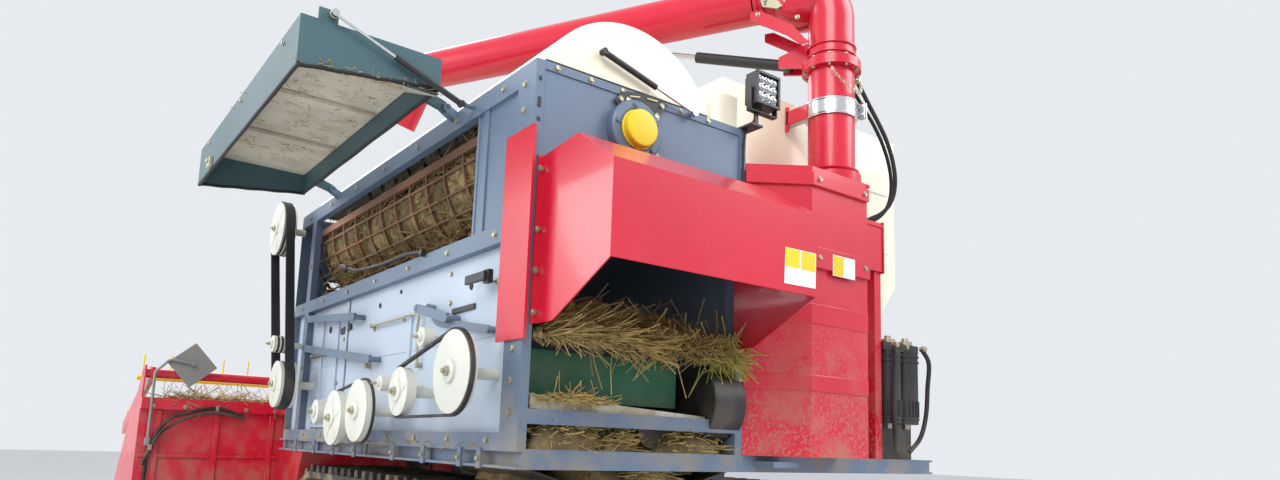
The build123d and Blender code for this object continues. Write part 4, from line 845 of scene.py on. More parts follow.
# Left rear band beside the opening, panel channels, flat lever, latch and the deck edge's brackets
leftLook = {
    "band": ((104, 1424), (378, 1424), (378, 1832), (104, 1832)), "bandX": -962,
    "folds": (((-969, 300, 1424), (-962, 330, 1832)), ((-966, 366, 1424), (-958, 380, 1832))),
    # y, low, high
    "channels": ((1594, 765, 1364), (1712, 780, 1300), (1935, 780, 1320), (872, 1064, 1226)),
    "lever": ((684, 1231), (600, 1170), (470, 1150), (217, 1110)),
    "brackets": (200, 330, 610, 880, 1290, 1560, 1830, 2120),
    "studs": ((562, 1333), (554, 1233), (1270, 1211), (955, 1216), (1700, 1010), (1760, 930), (1640, 1200)),
    "latch": (((-990, 196, 1248), (-972, 228, 1290)), ((-1000, 204, 1256), (-988, 334, 1284))),
}


def makeLeftDress(look):
    sheets = [sidePlate(look["band"], look["bandX"], 4)] + blocks(look["folds"])
    makePiece("leftBand", sheets, "slatePaint", bevel=1)
    folds = [block((-950, y, low), (-941, y + 18, high)) for y, low, high in look["channels"]]
    makePiece("panelChannels", folds, "panelPaint", bevel=1.5)
    places = onSide(look["bandX"], look["lever"])
    line = smoothPath(places, 24)
    upper, lower, deep = line + (0, 0, 13), line - (0, 0, 13), (6, 0, 0)
    arm = [ringed(np.stack((upper, upper - deep, lower - deep, lower), 1)[::-1])]
    arm += lathedAt(((-20, 10), (10, 10), (12, 8)), (places[0], places[-1]), toLeft, 18)
    makePiece("idlerLever", arm, "slatePaint", bevel=1)
    edge = [block((-979, y, 700), (-972, y + 26, 758)) for y in look["brackets"]]
    makePiece("deckBrackets", edge, "slatePaint", bevel=1)
    studs = hexBolts(onSide(-942, look["studs"]), toLeft, 8)
    studs += hexBolts([(-980, y + 13, 728) for y in look["brackets"]], toLeft, 7)
    makePiece("panelStuds", studs, "zincSteel")
    makePiece("postLatch", blocks(look["latch"]), "blackPaint", bevel=1.5)


makeLeftDress(leftLook)
print("left side dressed")

# Rear of the thresher: black slotted bracket, painted shade in the posts' slots, bearing bolts, bar, fan
# housing and pipe below the mat
rearLook = {
    "bracket": ((-696, 1841), (-665, 1878), (-597, 1892), (-519, 1894), (-484, 1880), (-530, 1822),
                (-630, 1811), (-676, 1826)),
    "slots": (((-640, 1868), (-600, 1876)), ((-572, 1880), (-530, 1882))),
    "bracketBolts": ((-672, 1850), (-508, 1872)),
    "bearingBolts": ((-689, 1745), (-526, 1835), (-640, 1856), (-520, 1700), (-700, 1690), (-588, 1850)),
    # painted shade: dark plates stand for the slots in the posts; x, z, half height, half width
    "postSlotShade": ((-957, 1834, 7, 5), (-957, 1761, 16, 6), (-957, 1709, 6, 6), (-135, 1834, 12, 5),
                  (-135, 1700, 12, 5)),
    "bar": ((-926, 874), (-270, 842), (-270, 880), (-926, 914)),
    # the pipe's section: distance ahead and radius
    "pipe": ((0, 54), (90, 54), (90, 46), (12, 46), (12, 1)), "pipeAt": (-455, 60, 826),
    "fan": (100, 930), "fanRadius": 118, "fanX": (-268, -130), "fanGrowth": 0.22,
}


def makeRear(look):
    black = [rearPlate(look["bracket"], -2, 5)]
    # painted shade: thin black plates on the posts stand for their slots
    black += [rearPlate(((x - w, z - h), (x + w, z - h), (x + w, z + h), (x - w, z + h)), -0.4, 0.9)
              for x, z, h, w in look["postSlotShade"]]
    makePiece("rearBracketAndSlotShade", black, "blackPaint", bevel=0.4)
    pale = [tubeAlong(np.linspace(*onRear(-7.4, ends), 4), 4, 10, toFront) for ends in look["slots"]]
    pale += hexBolts(onRear(-7, look["bracketBolts"]), toRear, 8)
    pale += hexBolts(onRear(0, look["bearingBolts"]), toRear, 11, 9)
    makePiece("rearBolts", pale, "zincSteel")
    makePiece("rearBar", [rearPlate(look["bar"], 26, 8)], "dirtyLining", bevel=1)
    turn = fullTurn(36)
    (x, y, z), section = look["pipeAt"], np.array(look["pipe"], float)
    ahead, r = section[:, :1], section[:, 1:]
    rings = np.stack((x + r * np.cos(turn), y + ahead + 0 * turn, z + r * np.sin(turn)), -1)
    makePiece("rearPipe", [ringed(rings[::-1, ::-1])], "darkSteel")
    # the fan housing's radius grows evenly round a turn, as a snail's shell does
    turn = fullTurn(64)
    reach = look["fanRadius"] * (1 + look["fanGrowth"] * turn / (2 * np.pi))
    (y, z), (x0, x1) = look["fan"], look["fanX"]
    scroll = np.stack((y + reach * np.cos(turn), z + reach * np.sin(turn)), 1)
    makePiece("fanHousing", [sidePlate(scroll, x0, x1 - x0)], "blackPaint", bevel=4)


makeRear(rearLook)

# Straw column: ledge bands, pressed ribs, blank sticker plates, rim and side box lid
columnLook = {
    # plan line, low, high, how far it stands out
    "bands": [(((-120, 0), (68, -140), (372, -140)), *row) for row in
              ((1703, 1752, 12), (1409, 1484, 14), (983, 1038, 4), (1214, 1285, 3))],
    "rim": (((372, -140), (384, -140), (384, 120)), 1762, 1775, 4),
    "lid": ((640, -16, 1494), (646, 136, 1706)),
    "lidEdge": (((364, -10), (640, -10)), 1680, 1692, 5),
    # outline, y
    "white": ((((-306, 1269), (-168, 1271), (-166, 1381), (-302, 1379)), -359.2),
              (((161, 1393), (282, 1393), (282, 1468), (161, 1468)), -154.2)),
    "yellow": (((-302, -361, 1322), (-240, -360.2, 1378)), ((-233, -361, 1322), (-171, -360.2, 1378)),
               ((164, -156, 1396), (218, -155.2, 1465))),
}


def carriedBand(plan, low, high, out):
    # a strip between two heights follows the plan line and stands out from it by a mitred offset
    plan = np.asarray(plan, float)
    way = unit(np.diff(plan, axis=0))
    normal = np.stack((way[:, 1], -way[:, 0]), 1)
    corner = np.concatenate((normal[:1], unit(normal[:-1] + normal[1:]), normal[-1:]))
    stretch = 1 / np.sum(corner * np.concatenate((normal, normal[-1:])), axis=1, keepdims=True)
    inner, outer = plan - 2 * corner, plan + out * corner * stretch
    edges = ((inner, low), (outer, low), (outer, high), (inner, high))
    return ringed(np.stack([np.column_stack((line, np.full(len(line), z))) for line, z in edges], 1))


def makeColumnDress(look):
    bands = [carriedBand(*row) for row in (*look["bands"], look["rim"])]
    bands += [block(*look["lid"]), carriedBand(*look["lidEdge"])]
    makePiece("columnBands", bands, "redPaint", bevel=3)
    makePiece("stickerPlates", [rearPlate(outline, y, 1.2) for outline, y in look["white"]], "whitePaint")
    makePiece("stickerBlanks", blocks(look["yellow"]), "yellowPaint")


makeColumnDress(columnLook)
print("rear and column dressed")

# Riser and elbow: clamp ears and bolts, flange bolts, ribs, hatch with its latch, arm plates, chain
riserLook = {
    "axis": (315, -20), "turn": 27, "clamp": (2040, 2105), "collar": 2234, "elbowFoot": 2273, "tubeZ": 2600,
    "boltCircle": 102, "bolts": 10, "gusset": 93,
    "hoops": ((-3, 99), (0, 101), (3, 99)),
    "foot": ((0, 86), (10, 100), (16, 104), (18, 96)), "footZ": 1815,
    # along the tube from the riser's axis, height
    "gussetLine": ((60, 2336), (78, 2352), (130, 2420), (262, 2506), (300, 2506), (300, 2470), (150, 2378),
                   (96, 2330)),
    "hatch": ((140, 2520), (170, 2556), (230, 2570), (262, 2556), (250, 2520), (190, 2500)),
    "handle": ((168, 2548), (200, 2562), (236, 2548), (240, 2526)),
    "hatchBolts": ((158, 2524), (244, 2556), (110, 2446), (270, 2490)),
    "links": 26, "chainCircle": 112, "chainFrom": -2.5, "chainTurn": 2, "chainZ": 2226, "chainSag": 96,
}


def alongTube(look, distance, sideways, z):
    # a place at a distance from the riser along the tube and to its right
    turn = math.radians(look["turn"])
    return (look["axis"][0] - distance * math.sin(turn) + sideways * math.cos(turn),
            look["axis"][1] + distance * math.cos(turn) + sideways * math.sin(turn), z)


def makeRiserDress(look):
    (x, y), (low, high) = look["axis"], look["clamp"]
    middle = alongTube(look, 0, 0, 0)
    tubeWay = np.subtract(alongTube(look, 1, 0, 0), middle)
    tubeRight = np.subtract(alongTube(look, 0, 1, 0), middle)
    bright = [lathed(look["hoops"], (x, y, z), toTop, 48) for z in (low + 6, high - 6)]
    bright += [block((x + side, y - 108, low + 2), (x + side + 6, y - 78, high - 2)) for side in (60, 72)]
    bright += hexBolts([(x + 60, y - 100, z) for z in (low + 16, high - 16)], toLeft, 7)
    bright += hexBolts([(230, at, z) for at in (60, 100) for z in (low + 22, high - 22)], toLeft, 8)
    makePiece("clampDress", bright, "brightSteel", bevel=0.8)
    arm = [block((222, rear, low - out), (229.5, front, high + up))
           for rear, front, out, up in ((20, 128, -4, -4), (118, 134, 22, 14))]
    arm.append(lathed(look["foot"], (x, y, look["footZ"]), toTop, 48))
    makePiece("clampArm", arm, "redPaint", bevel=1.5)
    circle = around(look["bolts"], look["boltCircle"])
    under = [(x + u, y + v, look["collar"]) for u, v in circle]
    makePiece("collarBolts", hexBolts(under, toGround, 7, 6), "zincSteel")
    over = [(x + u, y + v, look["elbowFoot"]) for u, v in circle]
    makePiece("elbowBolts", hexBolts(over, toTop, 7, 6), "zincSteel", "elbow")
    ribs = [hoop(7, 89, 97, alongTube(look, at, 0, look["tubeZ"]), tubeWay, 48) for at in (288, 262)]
    ribs += [hoop(5, 89, 96, (x, y, z), toTop, 48) for z in (2330, 2295)]
    for side in (-1, 1):
        start = alongTube(look, 0, side * look["gusset"], 0)
        ribs.append(plate(look["gussetLine"], start, tubeWay, toTop, 6 * side))
    makePiece("elbowRibs", ribs, "redPaint", "elbow", bevel=1.5)
    hatch = [plate(look["hatch"], alongTube(look, 0, -91, 0), tubeWay, toTop, -6)]
    hatch.append(bentTube([alongTube(look, at, -101, z) for at, z in look["handle"]], 20, 4))
    hatch += hexBolts([alongTube(look, at, -97, z) for at, z in look["hatchBolts"]], -tubeRight, 8)
    makePiece("elbowHatch", hatch, "zincSteel", "elbow")
    links, t = [], np.linspace(0, 2 * np.pi, 13)[:, None]
    for link in range(look["links"]):
        # the chain's height drops by sag * sin(pi * share) ^ 0.8; every other link lies crosswise
        share = link / (look["links"] - 1)
        a = look["chainFrom"] + look["chainTurn"] * share
        out = np.array((math.cos(a), math.sin(a), 0))
        middle = (x, y, look["chainZ"] - look["chainSag"] * math.sin(math.pi * share) ** 0.8)
        lie = np.array((-out[1], out[0], 0)) if link % 2 else out
        loop = middle + look["chainCircle"] * out + 4 * np.cos(t) * lie + 7.5 * np.sin(t) * np.array(toTop)
        links.append(tubeAlong(loop, 1.3, 6, (lie[1], -lie[0], 0.2)))
    makePiece("riserChain", links, "zincSteel")


makeRiserDress(riserLook)

# Elbow casing: a full drum-shaped housing over the bend, with its seam, which the plain bend lacks
casingLook = {"along": 112, "z": 2582, "radius": 134, "half": 108}


def makeCasing(look, riser):
    # radius = R cos(t) ^ 0.45 and distance along the sideways axis = H sin(t), from pole to pole
    t = np.linspace(-np.pi / 2 * 0.97, np.pi / 2 * 0.97, 33)
    radius = look["radius"]
    profile = np.stack((look["half"] * np.sin(t), radius * np.cos(t) ** 0.45), 1)
    middle = alongTube(riser, look["along"], 0, look["z"])
    tubeRight = np.subtract(alongTube(riser, 0, 1, 0), alongTube(riser, 0, 0, 0))
    seam = hoop(5, radius - 2, radius + 5, middle, tubeRight, 72)
    makePiece("elbowCasing", [lathed(profile, middle, tubeRight, 72), seam], "redPaint", "elbow", crease=50)


makeCasing(casingLook, riserLook)

# Two hydraulic hoses hang in a bow from the riser's collar to the side box; lengths in metres
hoseRoutes = {
    "riserHoseA": {
        "points": ((424, -52, 2236), (446, -62, 2196), (486, -66, 2144), (548, -62, 2092), (612, -56, 2034),
                   (660, -50, 1962), (690, -42, 1884), (692, -26, 1806), (662, 2, 1748), (612, 34, 1722),
                   (586, 50, 1702)),
        "length": 0.697, "diameter": 0.017,
    },
    "riserHoseB": {
        "points": ((430, -12, 2236), (462, -14, 2206), (512, -16, 2160), (584, -14, 2106), (652, -10, 2036),
                   (704, -4, 1954), (730, 6, 1866), (722, 22, 1786), (686, 52, 1736), (626, 84, 1718),
                   (598, 98, 1702)),
        "length": 0.739, "diameter": 0.015,
    },
}
hoseBracket = ((404, -66, 2226), (440, 4, 2234))


def makeHoses(routes, bracket):
    ends = []
    for name, look in routes.items():
        points = toFrame(look["points"])
        curve = bpy.data.curves.new(name, "CURVE")
        curve.dimensions = "3D"
        curve.bevel_depth = look["diameter"] / 2
        curve.bevel_resolution = 5
        curve.resolution_u = 16
        curve.use_fill_caps = True
        spline = curve.splines.new("NURBS")
        spline.points.add(len(points) - 1)
        spline.points.foreach_set("co", np.column_stack((points, np.ones(len(points)))).ravel())
        spline.order_u = 3
        spline.use_endpoint_u = True
        curve.materials.append(finishes["beltRubber"])
        hose = bpy.data.objects.new(name, curve)
        bpy.context.scene.collection.objects.link(hose)
        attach(hose, "base")
        r = look["diameter"] * 500
        for at, toward in ((0, 1), (-1, -2)):
            here, there = np.array(look["points"][at]), np.array(look["points"][toward])
            ends.append(lathed(((-6, r + 3), (4, r + 4), (16, r + 3), (22, r + 1)), here, there - here, 6))
    makePiece("hoseFittings", ends + [block(*bracket)], "zincSteel", bevel=0.8)


makeHoses(hoseRoutes, hoseBracket)

# Work lamp: bezel, three rows of three lenses, yoke and the lead down the post
lampLook = {
    "x": (-153, -41), "z": (1968, 2084), "front": -78, "rim": 8, "yoke": (-66, -42),
    "lens": 14.5, "crown": 9, "inset": (26, 27), "leadRadius": 5,
    "lead": ((-97, -36, 1968), (-104, -24, 1930), (-128, -9, 1890), (-140, -8, 1820), (-140, -8, 1700),
             (-141, -8, 1590)),
}


def makeLamp(look):
    (x0, x1), (z0, z1), y, rim, lens = (look[key] for key in ("x", "z", "front", "rim", "lens"))
    rear, front = look["yoke"]
    edges = ((x0 - 2, x1 + 2, z0 - 2, z0 + rim), (x0 - 2, x1 + 2, z1 - rim, z1 + 2),
             (x0 - 2, x0 + rim, z0 + rim, z1 - rim), (x1 - rim, x1 + 2, z0 + rim, z1 - rim))
    bezel = [block((left, y - 9, low), (right, y, high)) for left, right, low, high in edges]
    bezel += [block((x0 + rim, y + at, z0 + rim), (x1 - rim, y + at + 2, z1 - rim)) for at in (47, 53, 59)]
    bezel += [block((x, rear, z0 - 20), (x + 5, front, z0 + 62)) for x in (x0 - 9, x1 + 4)]
    bezel.append(block((x0 - 9, rear, z0 - 25), (x1 + 9, front, z0 - 20)))
    makePiece("lampBezel", bezel, "blackPaint", bevel=1.2)
    across, up = look["inset"]
    columns, rows = np.linspace(x0 + across, x1 - across, 3), np.linspace(z0 + up, z1 - up, 3)
    places = [(x, z) for x in columns for z in rows]
    t = np.linspace(0, np.pi / 2, 7)
    profile = np.stack((look["crown"] * np.sin(t), lens * np.cos(t * 0.96)), 1)
    makePiece("lampLenses", lathedAt(profile, onRear(y - 1, places), toRear, 24), "lampGlass")
    cup = ((0, lens + 2), (2, lens + 2), (2.4, lens))
    makePiece("lampCups", lathedAt(cup, onRear(y, places), toRear, 24), "chromeCap")
    waves = look["leadRadius"] + 0.6 * np.sin(np.arange(50) * 1.6)
    makePiece("lampLead", [bentTube(look["lead"], 50, waves, 10, toFront)], "beltRubber")


makeLamp(lampLook)

# Filters: caps, ribs, clamps and the two hoses from the head block to the deck
filterLook = {
    "x": (700, 815), "y": 14, "radius": 50, "z": (900, 1191), "ribs": 20, "hoseRadius": 9,
    "cap": ((0, 30), (14, 30), (16, 26), (16, 14), (30, 13), (31, 8)), "capZ": 1221,
    "plug": ((0, 18), (-18, 17), (-22, 8)), "bolts": ((665, 1206), (757, 1206), (850, 1206)),
    "hoses": (((664, -42, 1206), (652, -58, 1160), (648, -52, 1060), (652, -46, 960), (668, -40, 860),
               (690, -30, 790)),
              ((850, -42, 1206), (876, -56, 1150), (880, -46, 1050), (872, -42, 940), (838, -38, 850),
               (780, -26, 790))),
    "ends": ((664, 1206), (850, 1206)), "end": ((0, 11), (4, 13), (22, 13), (26, 10)),
}


def makeFilters(look):
    (low, high), y, radius = look["z"], look["y"], look["radius"]
    black, bright = [], []
    for x in look["x"]:
        for z in (low + 22, high - 40, high - 18):
            black.append(hoop(5, radius - 1, radius + 4, (x, y, z), toTop, 40))
        for u, v in around(look["ribs"], radius + 1):
            rib = np.linspace((x + u, y + v, low + 30), (x + u, y + v, low + 92), 4)
            black.append(tubeAlong(rib, 3, 6, toRight))
        bright.append(lathed(look["cap"], (x, y, look["capZ"]), toTop, 32))
        bright.append(lathed(look["plug"], (x, y, low), toTop, 6))
    bright += hexBolts(onRear(-38, look["bolts"]), toRear, 7)
    makePiece("filterRibs", black, "blackPaint")
    makePiece("filterCaps", bright, "zincSteel")
    hoses = [bentTube(hose, 50, look["hoseRadius"], 12, (0, 1, 0.2)) for hose in look["hoses"]]
    makePiece("filterHoses", hoses, "beltRubber")
    makePiece("hoseEnds", lathedAt(look["end"], onRear(-36, look["ends"]), toRear, 6), "zincSteel")


makeFilters(filterLook)
print("riser, lamp and filters dressed")

# Shaft housing and its cap stand for the node shaft_cap, in two finishes
shaftLook = {
    "centre": (-620, 0, 1755),
    # profiles: distance behind the wall and radius
    "housing": ((-4, 94), (-1, 96), (29, 96), (34, 90), (34, 70), (31, 66)),
    "cap": ((30, 62), (36, 63), (38, 60), (57, 59), (60.5, 56), (62, 50), (62, 8)),
    "bolts": (0.5, 1.75, 3, 4.25, 5.5), "boltCircle": 80, "boltY": -34,
}


def makeShaft(look):
    x, _, z = look["centre"]
    r = look["boltCircle"]
    places = [(x + r * math.cos(a), look["boltY"], z + r * math.sin(a)) for a in look["bolts"]]
    ring = lathed(look["housing"], look["centre"], toRear, 64)
    housing = makePiece("shaftHousing", [ring] + hexBolts(places, toRear, 7), "slatePaint")
    cap = makePiece("shaftCap", [lathed(look["cap"], look["centre"], toRear, 64)], "yellowPaint")
    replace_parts(cap, "shaft_cap")
    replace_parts(housing, "shaft_cap")


makeShaft(shaftLook)

# Operator's seat: two crowned cushions with piping, in the space of the node operator_seat
seatLook = {
    "base": {"middle": (520, 1840, 1477), "half": (219, 219, 50), "lean": 0, "thin": 2},
    "back": {"middle": (520, 1630, 1738), "half": (209, 46, 250), "lean": 0.13, "thin": 1},
}


def shaped(value, power):
    return np.sign(value) * np.abs(value) ** power


def crownedPad(look, rings=29, sides=48):
    # a superellipsoid: each coordinate is its half size times sign(s) * |s| ^ power of the sphere's own,
    # the power small across the broad face and larger through the thickness, along the axis thin
    u = np.linspace(-np.pi / 2 * 0.985, np.pi / 2 * 0.985, rings)[:, None]
    v = fullTurn(sides)[None]
    flat = shaped(np.cos(u), 0.55)
    broad = [flat * shaped(np.cos(v), 0.38), flat * shaped(np.sin(v), 0.38)]
    deep = shaped(np.sin(u), 0.8) + 0 * v
    channel = 1 - 0.1 * np.exp(-((np.abs(broad[0]) - 0.55) / 0.035) ** 2) * (np.abs(deep) > 0.5)
    thin = look["thin"]
    broad.insert(thin, deep * channel)
    x, y, z = (part * half for part, half in zip(broad, look["half"]))
    cos, sin = math.cos(look["lean"]), math.sin(look["lean"])
    points = np.stack((x, y * cos - z * sin, y * sin + z * cos), -1) + np.asarray(look["middle"])
    return ringed(points if thin == 2 else points[::-1])


def makeSeat(looks):
    for name, look in looks.items():
        pad = makePiece("seat" + name.capitalize(), [crownedPad(look)], "seatVinyl", crease=80)
        smooth = pad.modifiers.new("smooth", "SUBSURF")
        smooth.levels = smooth.render_levels = 1
        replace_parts(pad, "operator_seat")


makeSeat(seatLook)

# Station: gauges, switches, grips and boots on the consoles, ribs and lamps under the canopy
stationLook = {
    "levers": ((165, 2250, 1680), (165, 2420, 1650), (640, 2730, 1700)),
    "grip": ((-14, 17), (0, 20), (16, 21), (34, 19), (48, 20), (60, 15), (64, 6)),
    "boot": [(step * 9 + 4.5 * k, 34 - 4 * step - 4 * k) for step in range(5) for k in (0, 1)],
    "sideTop": 1481, "frontTop": 1524, "frontFrom": 2500,       # heights of the two consoles' tops
    "panel": ((2640, 1500), (2818, 1560)),      # y, z of the leaning panel's lower and upper edge
    "gauges": ((330, 0.5, 42), (450, 0.5, 42), (545, 0.3, 22), (545, 0.72, 22)),   # x, share up it, radius
    "switches": range(2520, 2760, 40),
    "ribs": (1620, 1920, 2220, 2520, 2780), "rails": (62, 946),
    "lamps": ((190, 2822, 2502), (830, 2822, 2502)),
    "lampCup": ((0, 44), (26, 46), (30, 42), (31, 38)), "lampGlass": ((0, 38), (4, 34), (6, 18), (6.5, 3)),
}


def makeStation(look):
    (y0, z0), (y1, z1) = look["panel"]
    lean = unit((0, -(z1 - z0), y1 - y0))
    black, bright, pads = [], [], []
    for x, share, radius in look["gauges"]:
        at = (x, y0 + share * (y1 - y0), z0 + share * (z1 - z0))
        rim = ((0, radius + 6), (6, radius + 6), (9, radius + 2), (7, radius), (4, radius))
        black.append(lathed(rim, at, lean, 40))
        bright.append(lathed(((4, radius), (5, radius * 0.5), (5, 2)), at, lean, 40))
    for y in look["switches"]:
        black += blocks((((100, y, 1480), (140, y + 26, 1487)), ((106, y + 4, 1487), (134, y + 14, 1494))))
    for x, y, z in look["levers"]:
        pads.append(lathed(look["grip"], (x, y, z - 4), toTop, 28))
        foot = look["sideTop"] if y < look["frontFrom"] else look["frontTop"]
        black.append(lathed(look["boot"], (x, y, foot), toTop, 28))
    makePiece("consoleTrim", black, "blackPaint", bevel=0.8)
    makePiece("consoleGlass", bright, "lampGlass")
    makePiece("leverGrips", pads, "seatVinyl")
    ribs = [block((80, y, 2544), (940, y + 30, 2560)) for y in look["ribs"]]
    ribs += [block((x, 1504, 2538), (x + 12, 2856, 2561)) for x in look["rails"]]
    makePiece("canopyRibs", ribs, "redPaint", bevel=2.5)
    places = look["lamps"]
    lamps = lathedAt(look["lampCup"], places, toFront, 32)
    lamps += [block((x - 5, y + 4, z), (x + 5, y + 16, z + 58)) for x, y, z in places]
    makePiece("canopyLamps", lamps, "blackPaint")
    glass = lathedAt(look["lampGlass"], [(x, y + 30, z) for x, y, z in places], toFront, 32)
    makePiece("canopyLampGlass", glass, "lampGlass")


makeStation(stationLook)

# Engine cover: a louvred grille and two latches on its right side
engineLook = {
    "right": 940, "y": (1420, 1980), "z": (900, 1300), "rim": 20, "slats": 16,
    "slat": ((0, -8), (9, -4), (9, -2), (2, 8), (0, 8)),
    "catches": (1440, 1930), "catchZ": (1340, 1382), "hook": ((4, 1376), (20, 1370), (20, 1336), (6, 1330)),
}


def makeEngineDress(look):
    x, rim, (y0, y1), (z0, z1) = (look[key] for key in ("right", "rim", "y", "z"))
    edges = ((y0 - rim, y1 + rim, z0 - rim, z0), (y0 - rim, y1 + rim, z1, z1 + rim),
             (y0 - rim, y0, z0, z1), (y1, y1 + rim, z0, z1))
    slats = [block((x, rear, low), (x + 6, front, high)) for rear, front, low, high in edges]
    for number in range(look["slats"]):
        z = z0 + (number + 0.5) * (z1 - z0) / look["slats"]
        outline = [(out, z + rise) for out, rise in look["slat"]]
        slats.append(plate(outline, (x, y1, 0), toRight, toTop, y1 - y0))
    makePiece("engineLouvres", slats, "redPaint", bevel=0.8)
    low, high = look["catchZ"]
    catches = [block((x, y, low), (x + 12, y + 22, high)) for y in look["catches"]]
    catches += [bentTube([(x + out, y + 11, z) for out, z in look["hook"]], 14, 3, 8, toFront)
                for y in look["catches"]]
    makePiece("engineCatches", catches, "zincSteel", bevel=0.8)


makeEngineDress(engineLook)

# Grain tank: pressed ribs on two sides; fuel cap
tankLook = {
    "right": 930, "rear": 140, "z": (1520, 2060), "sideRibs": (340, 620, 900, 1150),
    "x": (420, 880), "rearRibs": (1640, 1900), "ribRadius": 9,
    "capPlace": (800, 102, 1180), "cap": ((0, 46), (8, 48), (30, 46), (34, 40), (34, 8)),
    "capGrip": ((8, 48.5), (12, 50), (26, 50), (28, 47)),
}


def makeTankDress(look):
    # a rib swells from its ends: radius = R sin(t) ^ 0.3
    (z0, z1), (x0, x1), side, rear = look["z"], look["x"], look["right"] - 1, look["rear"] + 1
    swell = look["ribRadius"] * np.sin(np.linspace(0.12, 3.02, 12)) ** 0.3
    lines = [((side, y, z0), (side, y, z1), toRight) for y in look["sideRibs"]]
    lines += [((x0, rear, z), (x1, rear, z), toFront) for z in look["rearRibs"]]
    ribs = [tubeAlong(np.linspace(start, end, 12), swell, 12, out) for start, end, out in lines]
    makePiece("tankRibs", ribs, "creamPaint", crease=60)
    cap = [lathed(look["cap"], look["capPlace"], toTop, 32)]
    cap.append(lathed(look["capGrip"], look["capPlace"], toTop, 12))
    makePiece("fuelCap", cap, "blackPaint")


makeTankDress(tankLook)
print("station, engine and tank dressed")

# Undercarriage: hub caps and bolts of idlers and sprockets on both tracks
trackLook = {
    "mid": (-690, 690),
    # place y, z and half width; hub radius, bolt circle, bolts
    "wheels": ((340, 318, 60, 60, 39.6, 6), (2120, 385, 30, 74, 48.6, 8)),
    "nutOut": 25,
}


def makeTrackDress(look):
    caps, nuts = [], []
    for middle in look["mid"]:
        out = -1 if middle < 0 else 1
        for y, z, half, hub, circle, count in look["wheels"]:
            face, nutX = middle + out * half, middle + out * (half + look["nutOut"])
            cap = ((-4, hub + 18), (4, hub + 16), (8, hub), (24, hub * 0.92), (30, hub * 0.7),
                   (30, hub * 0.3))
            caps.append(lathed(cap, (face, y, z), (out, 0, 0), 40))
            places = [(nutX, y + u, z + v) for u, v in around(count, circle)]
            nuts += hexBolts(places, (out, 0, 0), 7, 7, False)
    makePiece("trackHubs", caps, "castIron", bevel=0.8)
    makePiece("trackNuts", nuts, "zincSteel")


makeTrackDress(trackLook)

# Header: ribs and hoses on the rear wall, knife sections, spiral flights and fingers of the auger
headerLook = {
    "wall": 2995, "left": -1534, "right": 766, "ribZ": (250, 886),
    "ribs": (-1460, -1180, -900, -190, 90, 370, 700), "rails": (420, 640), "opening": (-840, -250),
    "auger": (3262, 458), "tube": 105, "flight": 200, "pitch": 260, "feeder": (-820, -272), "end": 22,
    "finger": ((101, 14), (111, 12), (112, 7), (186, 7), (190, 4)), "fingers": 8,
    "sections": 28, "knifeZ": 250, "section": ((-36, 3870), (36, 3870), (8, 3944), (-8, 3944)),
    # radius, line
    "hoses": ((9, ((-1050, 2950, 872), (-1180, 2944, 906), (-1300, 2946, 880), (-1410, 2950, 830),
                   (-1476, 2956, 690), (-1486, 2960, 520))),
              (8, ((-1040, 2932, 858), (-1190, 2926, 880), (-1320, 2930, 850), (-1440, 2940, 760),
                   (-1500, 2956, 600)))),
    "clips": ((-1180, 904), (-1476, 690)),
}


def spiralFlight(look, start, end, hand, rows=6):
    # point = (x, y0 + r cos a, z0 + r sin a): a grows by a full turn for each pitch along x
    turns = abs(end - start) / look["pitch"]
    a = np.linspace(0, 2 * np.pi * turns, int(turns * 40))[:, None]
    r = np.linspace(look["tube"] - 2, look["flight"] - 0.5, rows)[None]
    y0, z0 = look["auger"]
    x = start + (end - start) * a / a[-1] + 0 * r
    return gridSheet(np.stack((x, y0 + r * np.cos(hand * a), z0 + r * np.sin(hand * a)), -1))


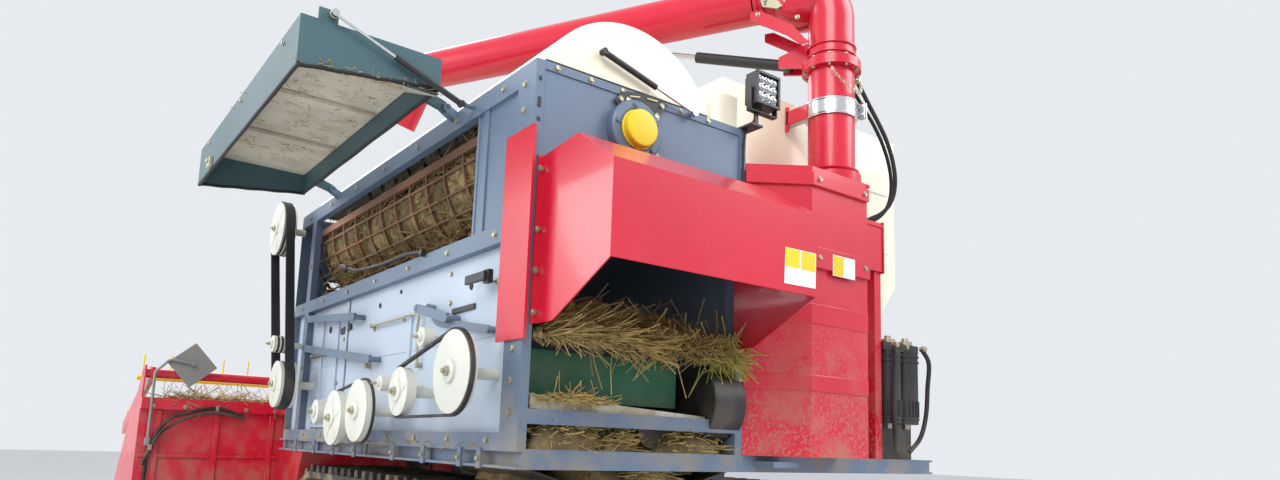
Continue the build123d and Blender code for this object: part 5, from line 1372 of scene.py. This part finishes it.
def makeAuger(look):
    (y, z), (f0, f1), r, end = look["auger"], look["feeder"], look["tube"], look["end"]
    left, right = look["left"] + 20, look["right"] - 20
    flights = [spiralFlight(look, left + 4, f0, 1), spiralFlight(look, right - 4, f1, -1)]
    spirals = makePiece("augerFlights", flights, "redPaint", "auger")
    thicken(spirals, 0.004, 0)
    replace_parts(spirals, "header_auger")
    wide = right - left
    profile = ((0, end), (0, r - 8), (4, r), (wide - 4, r), (wide, r - 8), (wide, end))
    shapes = [lathed(profile, (left, y, z), toRight, 56)]
    shapes.append(lathed(((-7, end), (wide + 7, end)), (left, y, z), toRight, 32))
    for finger in range(look["fingers"]):
        a = 2 * math.pi * finger / look["fingers"]
        way = (0, math.cos(a), math.sin(a))
        shapes.append(lathed(look["finger"], (f0 + 60 * (finger + 1), y, z), way, 14))
    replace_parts(makePiece("augerTube", shapes, "redPaint", "auger"), "header_auger")


makeAuger(headerLook)


def makeHeaderDress(look):
    wall, left, right, (low, high) = (look[key] for key in ("wall", "left", "right", "ribZ"))
    toFeeder, fromFeeder = look["opening"]
    ribs = [block((x, wall - 18, low), (x + 26, wall - 5, high)) for x in look["ribs"]]
    for x0, x1 in ((left + 8, toFeeder), (fromFeeder, right - 8)):
        ribs += [block((x0, wall - 14, z), (x1, wall - 5, z + 18)) for z in look["rails"]]
    makePiece("headerRibs", ribs, "redPaint", "header", bevel=2)
    knife = [plate([(left + 110 + number * 76 + x, y) for x, y in look["section"]], (0, 0, look["knifeZ"]),
                   toRight, toFront, 3) for number in range(look["sections"])]
    makePiece("knifeSections", knife, "brightSteel", "header")
    hoses = [bentTube(line, 50, radius) for radius, line in look["hoses"]]
    makePiece("headerHoses", hoses, "beltRubber", "header")
    clips = [block((x - 8, 2932, z - 14), (x + 8, wall - 3, z + 14)) for x, z in look["clips"]]
    makePiece("headerClips", clips, "zincSteel", "header", bevel=1)


makeHeaderDress(headerLook)
print("tracks and header dressed")

# Floor
floorLook = {"half": 30, "shade": tone(216, 217, 218), "rough": 0.7}


def makeFloor(look):
    half = look["half"]
    corners = [(-half, -half, 0), (half, -half, 0), (half, half, 0), (-half, half, 0)]
    mesh = bpy.data.meshes.new("studioFloor")
    mesh.from_pydata(corners, [], [(0, 1, 2, 3)])
    material, tree, shader = startMaterial("studioFloor")
    fillInputs(tree, shader, {"Base Color": look["shade"], "Roughness": look["rough"]})
    mesh.materials.append(material)
    floor = bpy.data.objects.new("studioFloor", mesh)
    bpy.context.scene.collection.objects.link(floor)


makeFloor(floorLook)
